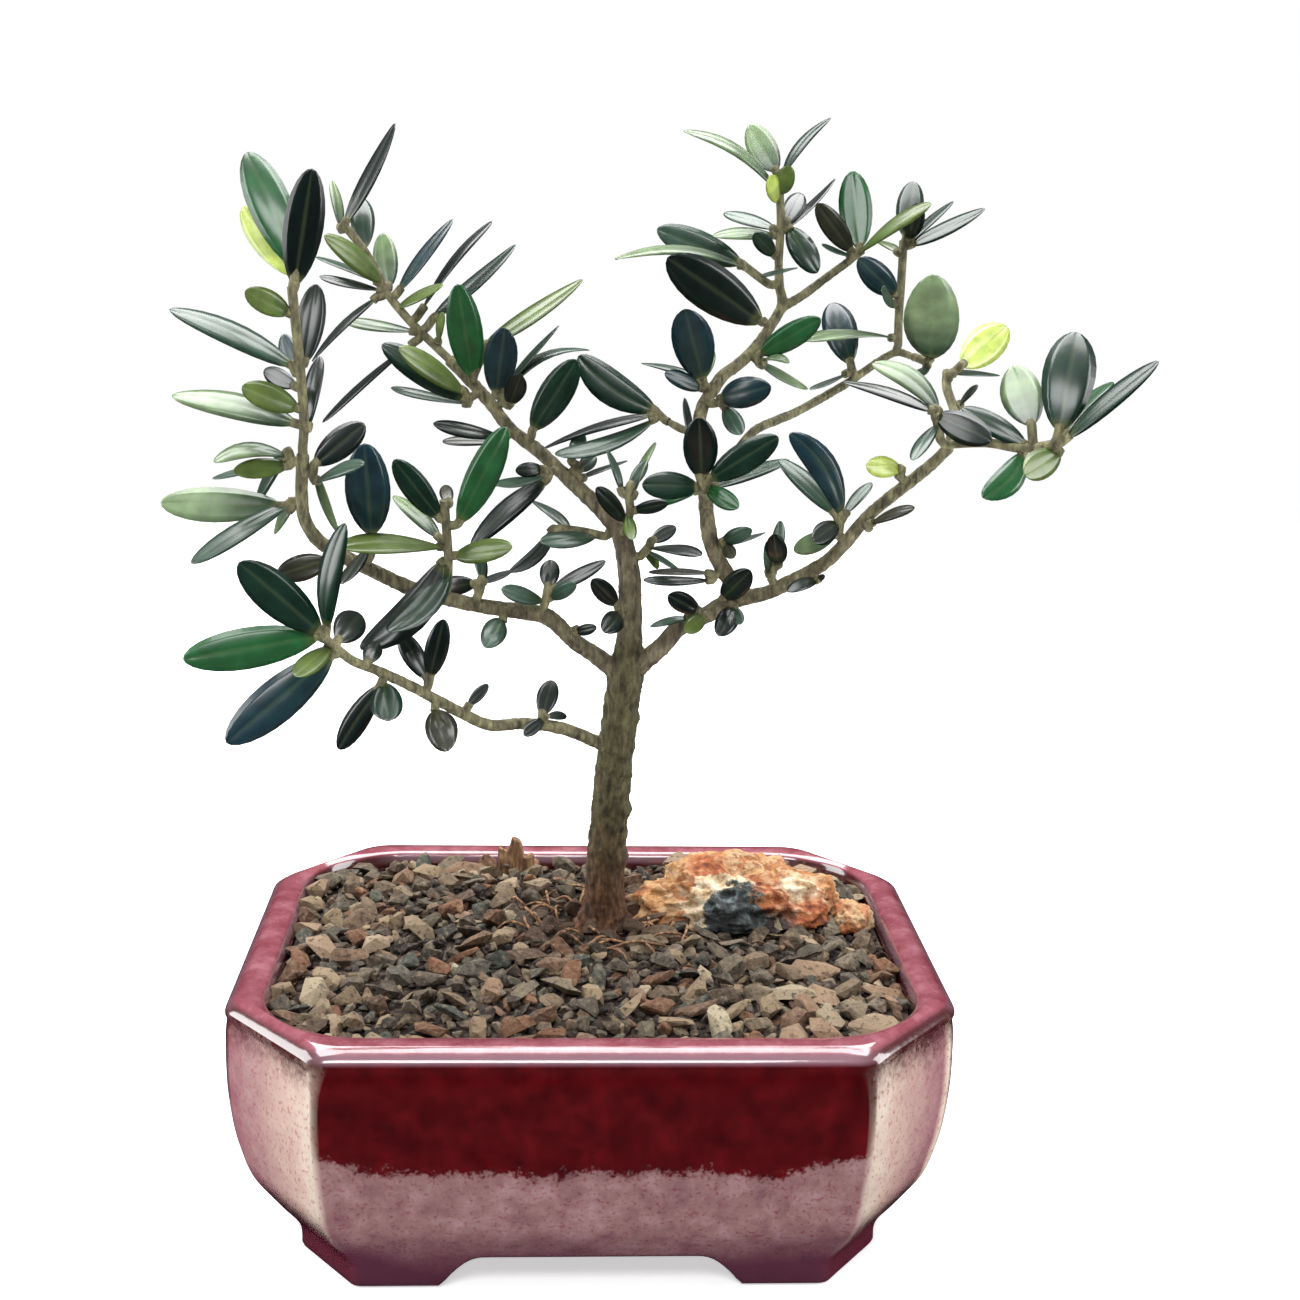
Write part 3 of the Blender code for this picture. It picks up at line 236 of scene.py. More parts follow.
def add_camera():
    ahead = Vector((-sin(YAW), cos(YAW), 0.0))
    right = Vector((cos(YAW), sin(YAW), 0.0))
    forward = ahead * cos(PITCH_DOWN) - Vector((0.0, 0.0, sin(PITCH_DOWN)))
    up = ahead * sin(PITCH_DOWN) + Vector((0.0, 0.0, cos(PITCH_DOWN)))
    right, up = right * cos(ROLL) + up * sin(ROLL), up * cos(ROLL) - right * sin(ROLL)
    camera = in_scene("camera", bpy.data.cameras.new("camera"))
    camera.data.lens = LENS_MM
    camera.data.sensor_width = SENSOR_MM
    turned = Matrix((right, up, -forward)).transposed().to_4x4()
    camera.matrix_world = Matrix.Translation(POT_CENTRE + EYE * MM) @ turned
    bpy.context.scene.camera = camera
    print("camera at mm", [round(c / MM, 1) for c in camera.location])


add_camera()


# %% [markdown]
# ## Floor and studio light
# The tree stands on a plain pale floor in a high-key studio: a large soft box overhead and a little
# behind, which draws white lights along the leaves and the rim, one in front, and two tall ones at the
# sides. The backdrop is white to the camera but dim to every ray that bounces, and that is what lets
# dark glaze and dark leaves stay dark. The floor glows a little of itself, so it is as white as the
# backdrop, and it is hidden from reflections.

# %% Floor and light
FLOOR_HALF = 1.0
FLOOR_GLOW = 0.55
SKY_STOPS = [(0.0, 0.0), (0.3, 0.08), (1.0, 0.36)]
SOFT_BOXES = [
    # name, place and target in mm from the pot's centre, width and height in mm, watts
    ("overhead_soft_box", (0, 250, 900), (0, 0, 120), 1100, 700, 17.0),
    ("front_soft_box", (-150, -620, 720), (0, 0, 130), 620, 260, 4.5),
    ("left_soft_box", (-800, 60, 330), (0, 0, 90), 420, 700, 5.0),
    ("right_soft_box", (800, -60, 330), (0, 0, 90), 420, 700, 5.0),
]


def add_floor():
    half = FLOOR_HALF
    floor = mesh_object("floor", [(-half, -half, 0), (half, -half, 0), (half, half, 0), (-half, half, 0)],
                        [(0, 1, 2, 3)])
    material, _, shader, _ = new_material("matt white paper")
    fill(shader, {"Base Color": "#f2f3f4", "Roughness": 0.9, "Specular IOR Level": 0.1,
                  "Emission Color": "#ffffff", "Emission Strength": FLOOR_GLOW})
    floor.data.materials.append(material)
    floor.visible_glossy = False


def add_soft_box(name, place, target, width, height, watts):
    """A rectangular area light that faces a target."""
    light = bpy.data.lights.new(name, "AREA")
    light.shape = "RECTANGLE"
    light.size = width * MM
    light.size_y = height * MM
    light.energy = watts
    lamp = in_scene(name, light)
    lamp.location = POT_CENTRE + Vector(place) * MM
    aim = POT_CENTRE + Vector(target) * MM
    lamp.rotation_euler = (aim - lamp.location).to_track_quat("-Z", "Y").to_euler()


def add_room():
    """A dim room for the light that bounces, and a white backdrop for the eye."""
    world = bpy.data.worlds.new("studio")
    bpy.context.scene.world = world
    world.use_nodes = True
    tree = world.node_tree
    tree.nodes.clear()
    place = add(tree, "ShaderNodeTexCoord").outputs["Generated"]
    height = add(tree, "ShaderNodeSeparateXYZ", {0: place}).outputs["Z"]
    sky = add(tree, "ShaderNodeValToRGB", {0: height}, stops=SKY_STOPS)
    room = add(tree, "ShaderNodeBackground", {"Color": sky})
    backdrop = add(tree, "ShaderNodeBackground", {"Color": "#ffffff"})
    to_camera = add(tree, "ShaderNodeLightPath").outputs["Is Camera Ray"]
    both = add(tree, "ShaderNodeMixShader", {0: to_camera, 1: room, 2: backdrop})
    add(tree, "ShaderNodeOutputWorld", {"Surface": both})


add_floor()
add_room()
for soft_box in SOFT_BOXES:
    add_soft_box(*soft_box)
bpy.context.scene.view_settings.view_transform = "Standard"
print("soft boxes:", len(SOFT_BOXES))


# %% [markdown]
# ## The pot
# The real pot is press-moulded stoneware: an octagon with four long panels and four narrow chamfers, a
# belly that swells to just below the rim, a rolled rim and four feet with low arches between them. A
# Boolean cut would leave hard edges where the glaze is soft, so the whole wall is one grid of points:
# a ring of places round the pot, and a stack of rings from the foot up, over the rim and down inside.

# %% The pot's outline at any height
RIM_HEIGHT = 58.0
FLOOR_HEIGHT = 14.0
POT_OUTLINES = [
    # height, half width, half depth, half length of the front panel, half length of the side panel
    (0.0, 62.8, 56.0, 50.0, 39.0),
    (6.5, 63.8, 56.5, 50.5, 39.0),
    (9.5, 66.6, 57.8, 52.5, 39.2),
    (15.0, 72.2, 61.5, 55.2, 39.5),
    (24.0, 76.2, 64.6, 56.2, 39.5),
    (34.0, 78.1, 66.5, 56.8, 39.5),
    (46.0, 78.6, 67.0, 57.0, 39.6),
    (53.0, 78.3, 66.4, 56.6, 39.4),
    (56.8, 77.3, 64.9, 56.0, 39.2),
    (58.0, 75.4, 63.0, 55.2, 38.6),
]
# Half width, half depth and corner radius of the opening at the rim, and of the pocket at its floor
MOUTH = (70.0, 57.0, 24.0)
POCKET_FOOT = (63.0, 50.0, 19.0)
ARRIS_RADIUS = 3.4
RIM_SOFTENING = 7.0
SOFTER_FROM = 46.0
ARRIS_STEPS = 6
CHAMFER_STEPS = 12
SIDE_STEPS = 56
FRONT_STEPS = 72
PANEL_STEPS = [CHAMFER_STEPS, SIDE_STEPS, CHAMFER_STEPS, FRONT_STEPS] * 2


def smooth_rows(rows, count):
    """Rows of numbers redrawn as a smooth run of `count` rows, evenly spaced by their first number."""
    rows = np.array(rows)
    keys = rows[:, 0]
    slopes = np.gradient(rows, keys, axis=0)
    result = []
    for key in np.linspace(keys[0], keys[-1], count):
        i = min(len(keys) - 2, max(0, int(np.searchsorted(keys, key, side="right")) - 1))
        run = keys[i + 1] - keys[i]
        t = (key - keys[i]) / run
        result.append((2 * t**3 - 3 * t**2 + 1) * rows[i] + (t**3 - 2 * t**2 + t) * run * slopes[i]
                      + (3 * t**2 - 2 * t**3) * rows[i + 1] + (t**3 - t**2) * run * slopes[i + 1])
    return np.array(result)


def arris_reach(before, after, softness):
    """How far from a corner its softened arris begins, for the two directions that leave the corner."""
    return softness * sqrt((1 + before.dot(after)) / (1 - before.dot(after)))


def octagon(height, half_width, half_depth, front, side):
    """The pot's outline with softened arrises, running round from the front panel's right end."""
    near_rim = max(0.0, (height - SOFTER_FROM) / (RIM_HEIGHT - SOFTER_FROM))
    softness = ARRIS_RADIUS + RIM_SOFTENING * near_rim ** 2
    quarter = [(front, half_depth), (half_width, side)]
    corners = [Vector((x, -y)) for x, y in quarter] + [Vector(c) for c in reversed(quarter)]
    corners += [-c for c in corners]
    ring = []
    for i, corner in enumerate(corners):
        far, beyond = corners[(i + 1) % 8], corners[(i + 2) % 8]
        before = (corners[i - 1] - corner).normalized()
        after = (far - corner).normalized()
        reach = arris_reach(before, after, softness)
        start, end = corner + before * reach, corner + after * reach
        for step in range(ARRIS_STEPS + 1):
            t = step / ARRIS_STEPS
            ring.append(start * (1 - t) ** 2 + corner * 2 * t * (1 - t) + end * t ** 2)
        next_start = far - after * arris_reach(-after, (beyond - far).normalized(), softness)
        ring.extend(end.lerp(next_start, step / PANEL_STEPS[i]) for step in range(1, PANEL_STEPS[i]))
    return np.array([tuple(p) for p in ring])


def rounded_mouth(half_width, half_depth, corner):
    """The pocket's outline, point for point beside the octagon's."""
    ring = []
    arc_points = 2 * (ARRIS_STEPS + 1) + CHAMFER_STEPS - 1
    corners = [(1, -1), (1, 1), (-1, 1), (-1, -1)]
    for turn, (sx, sy) in enumerate(corners):
        centre = Vector((sx * (half_width - corner), sy * (half_depth - corner)))
        arc = []
        for step in range(arc_points):
            angle = -pi / 2 + turn * pi / 2 + step / (arc_points - 1) * pi / 2
            arc.append(centre + Vector((cos(angle), sin(angle))) * corner)
        ring.extend(arc)
        steps = SIDE_STEPS if turn % 2 == 0 else FRONT_STEPS
        next_angle = turn * pi / 2
        nx, ny = corners[(turn + 1) % 4]
        next_centre = Vector((nx * (half_width - corner), ny * (half_depth - corner)))
        next_start = next_centre + Vector((cos(next_angle), sin(next_angle))) * corner
        ring.extend(arc[-1].lerp(next_start, step / steps) for step in range(1, steps))
    return np.array([tuple(p) for p in ring])


TABLE_ROWS = 117
outline_table = np.array([octagon(*row) for row in smooth_rows(POT_OUTLINES, TABLE_ROWS)])
print("points round the pot:", outline_table.shape[1])


# %% [markdown]
# The feet need no cut either. The lowest point of the wall is not one height but a low arch along each long
# panel, and the rings near the foot are squeezed up to it. The four chamfers are sunk by under a millimetre
# below the rim, so a small lip stands over them there, as on the real pot, and the glaze colour is painted dark
# under that lip as painted shade.

# %% Build the pot
UNDER_HEIGHT = 7.6
ARCH_REACH = {"front": (22.0, 31.6), "side": (15.0, 24.6)}
FRONT_PANEL_FROM = 50.0
SQUEEZE_HEIGHT = 14.0
FOOT_DEPTH = 13.2
LIP_DROP = 0.9
PANEL_DROP = 0.4
UNDERSIDE = (
    # how far in from the wall, and how high above the foot
    (FOOT_DEPTH + 0.6, 9.0), (FOOT_DEPTH, 6.0), (FOOT_DEPTH - 0.7, 1.0), (FOOT_DEPTH - 1.8, 0.1), (6.0, 0.0),
    (2.2, 0.0), (1.0, 0.15), (0.3, 0.6),
)
WALL_HEIGHTS = [*np.linspace(1.4, 14.0, 12), *np.linspace(15.5, 51.0, 24), *np.linspace(52.0, 57.6, 12)]
RIM_SHARES = (0.0, 0.14, 0.3, 0.5, 0.7, 0.86, 1.0)
MOUTH_ROUNDING = ((1.3, RIM_HEIGHT), (0.75, 57.65), (0.32, 57.25), (0.08, 56.6))
POCKET_HEIGHTS = (55.6, 53.6, 50.0, 40.0, 26.0, FLOOR_HEIGHT)


def smooth_step(value, low, high):
    t = np.clip((value - low) / (high - low), 0.0, 1.0)
    return t * t * (3 - 2 * t)


def ring_marks():
    """For each place round the pot: share of arris, share of chamfer, place along it, and foot height."""
    arris, chamfer, along, foot = [], [], [], []
    for i, steps in enumerate(PANEL_STEPS):
        on_chamfer = i % 2 == 0
        for step in range(ARRIS_STEPS + 1):
            t = step / ARRIS_STEPS
            arris.append(sin(pi * t) ** 0.5 if 0 < t < 1 else 0.25)
            chamfer.append(t if on_chamfer else 1 - t)
            along.append(0.0 if on_chamfer == (i in (0, 4)) else 1.0)
        for step in range(1, steps):
            t = step / steps
            arris.append(0.0)
            chamfer.append(1.0 if on_chamfer else 0.0)
            along.append(t if i in (0, 4) else 1 - t)
    for (x, y), cut in zip(outline_table[0], chamfer):
        height = 0.0
        if cut == 0.0:
            kind, distance = ("front", abs(x)) if abs(y) > FRONT_PANEL_FROM else ("side", abs(y))
            near, far = ARCH_REACH[kind]
            t = min(1.0, max(0.0, (far - distance) / (far - near)))
            height = UNDER_HEIGHT * sin(pi / 2 * t) ** 0.85
        foot.append(height)
    return np.array(arris), np.array(chamfer), np.array(along), np.array(foot)


arris_mark, chamfer_mark, along_mark, foot_mark = ring_marks()


def wall_ring(height, inset=0.0):
    """One ring of the outer wall; near the foot it follows the arches."""
    if height < SQUEEZE_HEIGHT:
        heights = foot_mark + height * (SQUEEZE_HEIGHT - foot_mark) / SQUEEZE_HEIGHT
    else:
        heights = np.full(len(foot_mark), height)
    level = np.clip(heights / RIM_HEIGHT * (TABLE_ROWS - 1), 0, TABLE_ROWS - 1.001)
    low = level.astype(int)
    share = (level - low)[:, None]
    index = np.arange(len(foot_mark))
    flat = outline_table[low, index] * (1 - share) + outline_table[low + 1, index] * share
    sunk = LIP_DROP * chamfer_mark + PANEL_DROP * (1 - chamfer_mark)
    sunk = sunk * (1 - smooth_step(heights, 52.6, 55.0)) * smooth_step(heights, 9.0, 15.0)
    return lean_in(flat, sunk + inset), heights


def lean_in(flat, amount):
    """Move each place of a ring inwards, square to the ring."""
    step = np.roll(flat, -1, axis=0) - np.roll(flat, 1, axis=0)
    step = step / np.linalg.norm(step, axis=1)[:, None]
    inward = np.stack([-step[:, 1], step[:, 0]], axis=1)
    return flat + inward * np.broadcast_to(amount, len(flat))[:, None]


def widened_mouth(widen):
    return rounded_mouth(*(size + widen for size in MOUTH))


def pot_rings():
    """Every ring from under the foot, up the wall, over the rim and down inside, as x, y and z arrays."""
    foot_flat, foot_heights = wall_ring(0.0)
    lift = 1 - foot_mark / UNDER_HEIGHT
    rings = [(lean_in(foot_flat, inset), np.minimum(foot_heights + rise * lift, UNDER_HEIGHT))
             for inset, rise in UNDERSIDE]
    rings += [wall_ring(height) for height in WALL_HEIGHTS]
    outer, _ = wall_ring(RIM_HEIGHT)
    level = np.ones(len(outer))
    (edge, _), *rounding = MOUTH_ROUNDING
    rings += [(outer * (1 - t) + widened_mouth(edge) * t,
               level * (RIM_HEIGHT + 0.25 * sin(pi * t) - 0.1 * t)) for t in RIM_SHARES]
    rings += [(widened_mouth(widen), level * height) for widen, height in rounding]
    for height in POCKET_HEIGHTS:
        rise = (height - FLOOR_HEIGHT) / (RIM_HEIGHT - FLOOR_HEIGHT)
        size = [foot + (top - foot) * rise for foot, top in zip(POCKET_FOOT, MOUTH)]
        rings.append((rounded_mouth(*size), level * height))
    return rings


def build_pot():
    rings = pot_rings()
    count = len(foot_mark)
    points = []
    for flat, heights in rings:
        points.extend(POT_CENTRE + Vector((x, y, z)) * MM for (x, y), z in zip(flat, heights))
    faces = [tuple(reversed(range(count)))]
    for low in range(0, len(points) - count, count):
        faces += [(low + i, low + (i + 1) % count, low + count + (i + 1) % count, low + count + i)
                  for i in range(count)]
    faces.append(tuple(range(len(points) - count, len(points))))
    pot = mesh_object("glazed_pot", points, faces)
    marks = {"arris": arris_mark, "chamfer": chamfer_mark, "along": along_mark}
    mark(pot, "FLOAT", **{name: np.tile(values, len(rings)) for name, values in marks.items()})
    return pot


DRAIN_RADIUS = 6.0
DRAIN_OFFSET = 30.0
DRAIN_DEPTH = 20.0


def cut_drains(pot):
    """Two round drain holes through the pot's floor."""
    for side in (-1, 1):
        hole = bmesh.new()
        bmesh.ops.create_cone(hole, cap_ends=True, segments=32, radius1=DRAIN_RADIUS * MM,
                              radius2=DRAIN_RADIUS * MM, depth=DRAIN_DEPTH * MM)
        middle = POT_CENTRE + Vector((side * DRAIN_OFFSET, 0, DRAIN_DEPTH / 2)) * MM
        bmesh.ops.translate(hole, verts=hole.verts, vec=middle)
        cutter = in_scene("drain", as_mesh("drain", hole))
        change = pot.modifiers.new("drain", "BOOLEAN")
        change.operation = "DIFFERENCE"
        change.solver = "EXACT"
        change.object = cutter
        bake(pot)
        remove(cutter)


pot = build_pot()
cut_drains(pot)


# %% [markdown]
# The glaze is a copper red of the oxblood kind. On the upright part of each panel it is deep and wet-looking.
# Below a ragged line over the belly it is painted mauve, a painted reflection of the pale floor, with a fine
# speckle, and it is darker towards the foot. It pulls off the arrises in the kiln and leaves them brown. The
# chamfers are painted pale and pinkish as a painted reflection of the bright room, with painted shade under the
# rim's lip; just under the rim the panels take a lavender strip of painted reflection, and the rim is rose. So
# the colour is worked out from height, from the marks stored on the mesh for arris and chamfer, and from noise
# sized in millimetres.

# %% Oxblood glazed stoneware
OXBLOOD = [(0.3, "#310105"), (0.5, "#450207"), (0.7, "#58040d")]
MAUVE_FLOOR_REFLECTION = [(0.32, "#6b4a50"), (0.5, "#80605f"), (0.7, "#937579")]
ROSE = [(0.3, "#772c39"), (0.5, "#8e4a56"), (0.72, "#a56b75")]
CHAMFER_REFLECTION = [(0.2, "#d2c3b4"), (0.42, "#bfa498"), (0.68, "#a68281"), (0.9, "#8a5a64")]
GLAZE_WANDER = 9.0
SOFTLY = {"interpolation_type": "SMOOTHSTEP"}


def oxblood_glaze():
    material, tree, shader, place = new_material("oxblood glazed stoneware")
    x, _, height = add(tree, "ShaderNodeSeparateXYZ", {0: place}).outputs
    arris, chamfer, along = [add(tree, "ShaderNodeAttribute", attribute_name=name).outputs["Fac"]
                             for name in ("arris", "chamfer", "along")]
    wobble_and_wear_noise, line_jitter, cloud, speck, peel = [
        add(tree, "ShaderNodeTexNoise", {
            "Vector": place, "Scale": per_mm(size), "Detail": detail, "Roughness": roughness})
        for size, detail, roughness in (
            (17, 2.0, 0.5), (1.5, 4.0, 0.7), (6, 8.0, 0.66), (0.9, 2.0, 0.5), (3.5, 1.0, 0.5))]
    deep, belly_reflection, rose = [add(tree, "ShaderNodeValToRGB", {0: cloud}, stops=stops)
                        for stops in (OXBLOOD, MAUVE_FLOOR_REFLECTION, ROSE)]

    # The ragged line where the deep oxblood gives way to the painted reflection of the pale floor, about 31 mm
    # up and higher at the panels' ends
    aside = add(tree, "ShaderNodeMath", {0: x, 1: POT_CENTRE.x}, operation="SUBTRACT")
    aside = add(tree, "ShaderNodeMath", {0: aside}, operation="ABSOLUTE")
    rise = add(tree, "ShaderNodeMapRange", {
        "Value": aside, "From Min": 36 * MM, "From Max": 57 * MM, "To Max": -4 * MM})
    wander = add(tree, "ShaderNodeMath", {0: height, 1: rise}, operation="ADD")
    wander = add(tree, "ShaderNodeMath", {0: wobble_and_wear_noise, 1: GLAZE_WANDER * MM, 2: wander}, operation="MULTIPLY_ADD")
    ragged = add(tree, "ShaderNodeMath", {0: line_jitter, 1: GLAZE_WANDER * MM, 2: wander}, operation="MULTIPLY_ADD")
    # The painted floor reflection takes a fine speckle, and it is darker towards the foot
    belly_reflection = lay_over(tree, belly_reflection, "#6b2a38", speck, 0.56, 0.68, 0.55)
    belly_reflection = lay_over(tree, belly_reflection, "#502838", wander, 21 * MM, 9 * MM)
    panel = lay_over(tree, belly_reflection, deep, ragged, 38.9 * MM, 41.2 * MM, **SOFTLY)

    # Chamfers: painted pale and pinkish as a painted reflection of the bright room, palest beside the front
    # arris, rosier away from it, darker towards the foot, with painted shade under the lip
    sheen = add(tree, "ShaderNodeMath", {0: along, 1: 0.62}, operation="MULTIPLY")
    sheen = add(tree, "ShaderNodeMath", {0: cloud, 1: 0.5, 2: sheen}, operation="MULTIPLY_ADD")
    pale = add(tree, "ShaderNodeValToRGB", {0: sheen}, stops=CHAMFER_REFLECTION)
    pale = lay_over(tree, pale, "#8d4a54", speck, 0.56, 0.68, 0.55)
    pale = lay_over(tree, pale, "#5a2533", wander, 21 * MM, 9 * MM)
    # Painted shade: the top of each chamfer, under the rim's lip, is painted dark
    pale = lay_over(tree, pale, "#3f1217", ragged, 52 * MM, 62 * MM, **SOFTLY)
    body = add(tree, "ShaderNodeMix", {0: chamfer, 6: panel, 7: pale}, data_type="RGBA")

    # Arrises break brown high up; just under the rim the panels take a lavender strip of painted reflection and
    # the chamfers a dark strip of painted shade; the rim is rose
    worn = add(tree, "ShaderNodeMath", {0: arris, 1: wobble_and_wear_noise}, operation="MULTIPLY")
    high = add(tree, "ShaderNodeMapRange", {
        "Value": height, "From Min": 26 * MM, "From Max": 48 * MM, "To Max": 0.85})
    body = lay_over(tree, body, "#36120f", worn, 0.2, 0.75, high)
    reflection_and_shade_strip = add(tree, "ShaderNodeMix", {0: chamfer, 6: "#9a7684", 7: "#4a1a20"}, data_type="RGBA")
    body = lay_over(tree, body, reflection_and_shade_strip, height, 54.8 * MM, 56.2 * MM, 0.6, **SOFTLY)
    body = lay_over(tree, body, rose, height, 56.6 * MM, 57.7 * MM, **SOFTLY)
    bump = add(tree, "ShaderNodeBump", {"Height": peel, "Strength": 0.12, "Distance": 0.5 * MM})
    fill(shader, {"Base Color": body, "Roughness": 0.16, "IOR": 1.52, "Coat Weight": 1.0,
                  "Coat Roughness": 0.06, "Coat IOR": 1.65, "Normal": bump})
    return material


pot.data.materials.append(oxblood_glaze())
stands_for(pot, "pot")


# %% [markdown]
# ## The soil
# Bonsai soil is crushed, sieved grit: angular grains of fired clay, bark and stone, three to six
# millimetres across, with dark gaps between them. Few things show scale as well as real loose grains
# do, so they are real meshes here. Nine chips are made as the hull of random points, some of them long
# slivers, and Geometry Nodes scatters them over the mound in three layers, from fine bedding to a few
# large pieces, each turned, sized and given a number for its colour.

# %% The mound
SOIL_EDGE = 53.6
SOIL_RISE = 2.4
SOIL_WALL_GAP = 1.6
SOIL_RISE_SHARES = (0.0, 0.22, 0.5, 0.78, 1.0)
SOIL_RISES = (1.0, 1.0, 0.82, 0.5, 0.0)
TRUNK_FOOT = Vector((2.7, 9.6))
ROOT_CLEARANCE = 7.4
BED_PITCH = 2.0
BED_CELLS = (36, 29)


def outside_mouth(x, y):
    """Whether a place lies outside the rounded mouth of the pot."""
    half_width, half_depth, corner = MOUTH
    ox, oy = abs(x) - (half_width - corner), abs(y) - (half_depth - corner)
    if ox > 0 and oy > 0:
        return sqrt(ox * ox + oy * oy) > corner
    return abs(x) > half_width or abs(y) > half_depth


def soil_share(x, y):
    """How far a place is from the mound's middle, as a share of the way to the pot's wall."""
    near, far = 0.01, 2.0
    for _ in range(12):
        share = (near + far) / 2
        if outside_mouth(x / share, y / share):
            near = share
        else:
            far = share
    return share


def soil_height(x, y):
    share = min(1.0, soil_share(x, y))
    return SOIL_EDGE + SOIL_RISE * float(np.interp(share, SOIL_RISE_SHARES, SOIL_RISES))


def build_scatter_bed(name):
    """A fine grid over the mound, open at the trunk, for the grains to land on."""
    points, faces, index = [], [], {}

    def corner(i, j):
        if (i, j) not in index:
            x, y = i * BED_PITCH, j * BED_PITCH
            index[i, j] = len(points)
            points.append(POT_CENTRE + Vector((x, y, soil_height(x, y))) * MM)
        return index[i, j]

    wide, deep = BED_CELLS
    for i in range(-wide, wide):
        for j in range(-deep, deep):
            x, y = (i + 0.5) * BED_PITCH, (j + 0.5) * BED_PITCH
            inside = soil_share(x, y) < 1.0 - SOIL_WALL_GAP / MOUTH[1]
            if inside and (Vector((x, y)) - TRUNK_FOOT).length > ROOT_CLEARANCE:
                faces.append((corner(i, j), corner(i + 1, j), corner(i + 1, j + 1), corner(i, j + 1)))
    return mesh_object(name, points, faces, smooth=False)


# %% Nine crushed grains
SLIVER = (1.5, 0.75, 0.42)
CHIP_POINTS = 16


def build_grains(group, count, seed):
    """Angular chips of unit size: hulls of random points in a flattened ball, every third a sliver."""
    random = Random(seed)
    for number in range(count):
        chip = bmesh.new()
        long, broad, flat = SLIVER if number % 3 == 2 else (1.1, random.uniform(0.7, 0.95), 0.68)
        for _ in range(CHIP_POINTS):
            corner = Vector([random.gauss(0, 1) for _ in range(3)]).normalized() * random.uniform(0.38, 0.5)
            chip.verts.new((corner.x * long, corner.y * broad, corner.z * flat))
        bmesh.ops.convex_hull(chip, input=chip.verts)
        bmesh.ops.delete(chip, geom=[v for v in chip.verts if not v.link_faces], context="VERTS")
        bmesh.ops.recalc_face_normals(chip, faces=chip.faces)
        name = f"grain_{number}"
        group.objects.link(bpy.data.objects.new(name, as_mesh(name, chip)))


def new_group(name):
    group = bpy.data.collections.new(name)
    bpy.context.scene.collection.children.link(group)
    return group


grain_shapes = new_group("grain_shapes")
build_grains(grain_shapes, 9, seed=11)


# %% [markdown]
# The scatter tree: points with a least distance between them, so that no two grains share a place, an
# instance on each with its own turn and size, and a stored number that the material turns into a colour.

# %% The scatter tree
def new_tree(name, inputs):
    """A Geometry Nodes tree with a geometry input and output, and the named inputs given."""
    tree = bpy.data.node_groups.new(name, "GeometryNodeTree")
    tree.interface.new_socket("Geometry", in_out="INPUT", socket_type="NodeSocketGeometry")
    for label, kind in inputs:
        tree.interface.new_socket(label, in_out="INPUT", socket_type=kind)
    tree.interface.new_socket("Geometry", in_out="OUTPUT", socket_type="NodeSocketGeometry")
    return tree


def use_tree(thing, tree, values):
    """Put a tree on an object and set its inputs by their identifiers."""
    change = thing.modifiers.new(tree.name, "NODES")
    change.node_group = tree
    for socket in tree.interface.items_tree:
        if socket.in_out == "INPUT" and socket.name in values:
            change[socket.identifier] = values[socket.name]


GRAIN_DENSITY = 4.0e5
GRAIN_TILT = 0.7
LEAST_JITTER = (-0.0003, -0.0003, -0.0006)
GREATEST_JITTER = (0.0003, 0.0003, 0.0007)


def scatter_tree():
    tree = new_tree("scatter grit", [
        ("Grains", "NodeSocketCollection"), ("Spacing", "NodeSocketFloat"), ("Least Size", "NodeSocketFloat"),
        ("Greatest Size", "NodeSocketFloat"), ("Lift", "NodeSocketFloat"), ("Seed", "NodeSocketInt"),
        ("Finish", "NodeSocketMaterial"),
    ])
    given = add(tree, "NodeGroupInput").outputs
    seed = given["Seed"]
    places = add(tree, "GeometryNodeDistributePointsOnFaces", {
        "Mesh": given["Geometry"], "Distance Min": given["Spacing"], "Density Max": GRAIN_DENSITY,
        "Density Factor": 1.0, "Seed": seed}, distribute_method="POISSON")
    rise = add(tree, "ShaderNodeCombineXYZ", {"Z": given["Lift"]})
    jitter = add(tree, "FunctionNodeRandomValue", {
        0: LEAST_JITTER, 1: GREATEST_JITTER, "Seed": seed}, data_type="FLOAT_VECTOR")
    move = add(tree, "ShaderNodeVectorMath", {0: rise, 1: jitter}, operation="ADD")
    places = add(tree, "GeometryNodeSetPosition", {"Geometry": places, "Offset": move})
    turn = add(tree, "FunctionNodeRandomValue", {
        0: (-GRAIN_TILT, -GRAIN_TILT, 0.0), 1: (GRAIN_TILT, GRAIN_TILT, 2 * pi), "Seed": seed},
        data_type="FLOAT_VECTOR")
    turn = add(tree, "FunctionNodeEulerToRotation", {0: turn})
    size = add(tree, "FunctionNodeRandomValue", {
        2: given["Least Size"], 3: given["Greatest Size"], "Seed": seed}, data_type="FLOAT")
    shapes = add(tree, "GeometryNodeCollectionInfo", {
        "Collection": given["Grains"], "Separate Children": True, "Reset Children": True})
    grains = add(tree, "GeometryNodeInstanceOnPoints", {
        "Points": places, "Instance": shapes, "Pick Instance": True, "Rotation": turn, "Scale": size})
    pick = add(tree, "FunctionNodeRandomValue", {2: 0.0, 3: 1.0, "Seed": seed}, data_type="FLOAT")
    marked = add(tree, "GeometryNodeStoreNamedAttribute", {
        "Geometry": grains, "Name": "pick", "Value": pick}, data_type="FLOAT", domain="INSTANCE")
    real = add(tree, "GeometryNodeRealizeInstances", {0: marked})
    coated = add(tree, "GeometryNodeSetMaterial", {"Geometry": real, "Material": given["Finish"]})
    add(tree, "NodeGroupOutput", {"Geometry": coated})
    return tree


# %% [markdown]
# Grit is matt and dusty. Most grains are brown-grey, some tan or terracotta and some a blue-grey
# stone, each mottled by a millimetre or so of noise, and brown with damp round the trunk. The soil
# under them is nearly black, and the fine bedding takes the same finish.

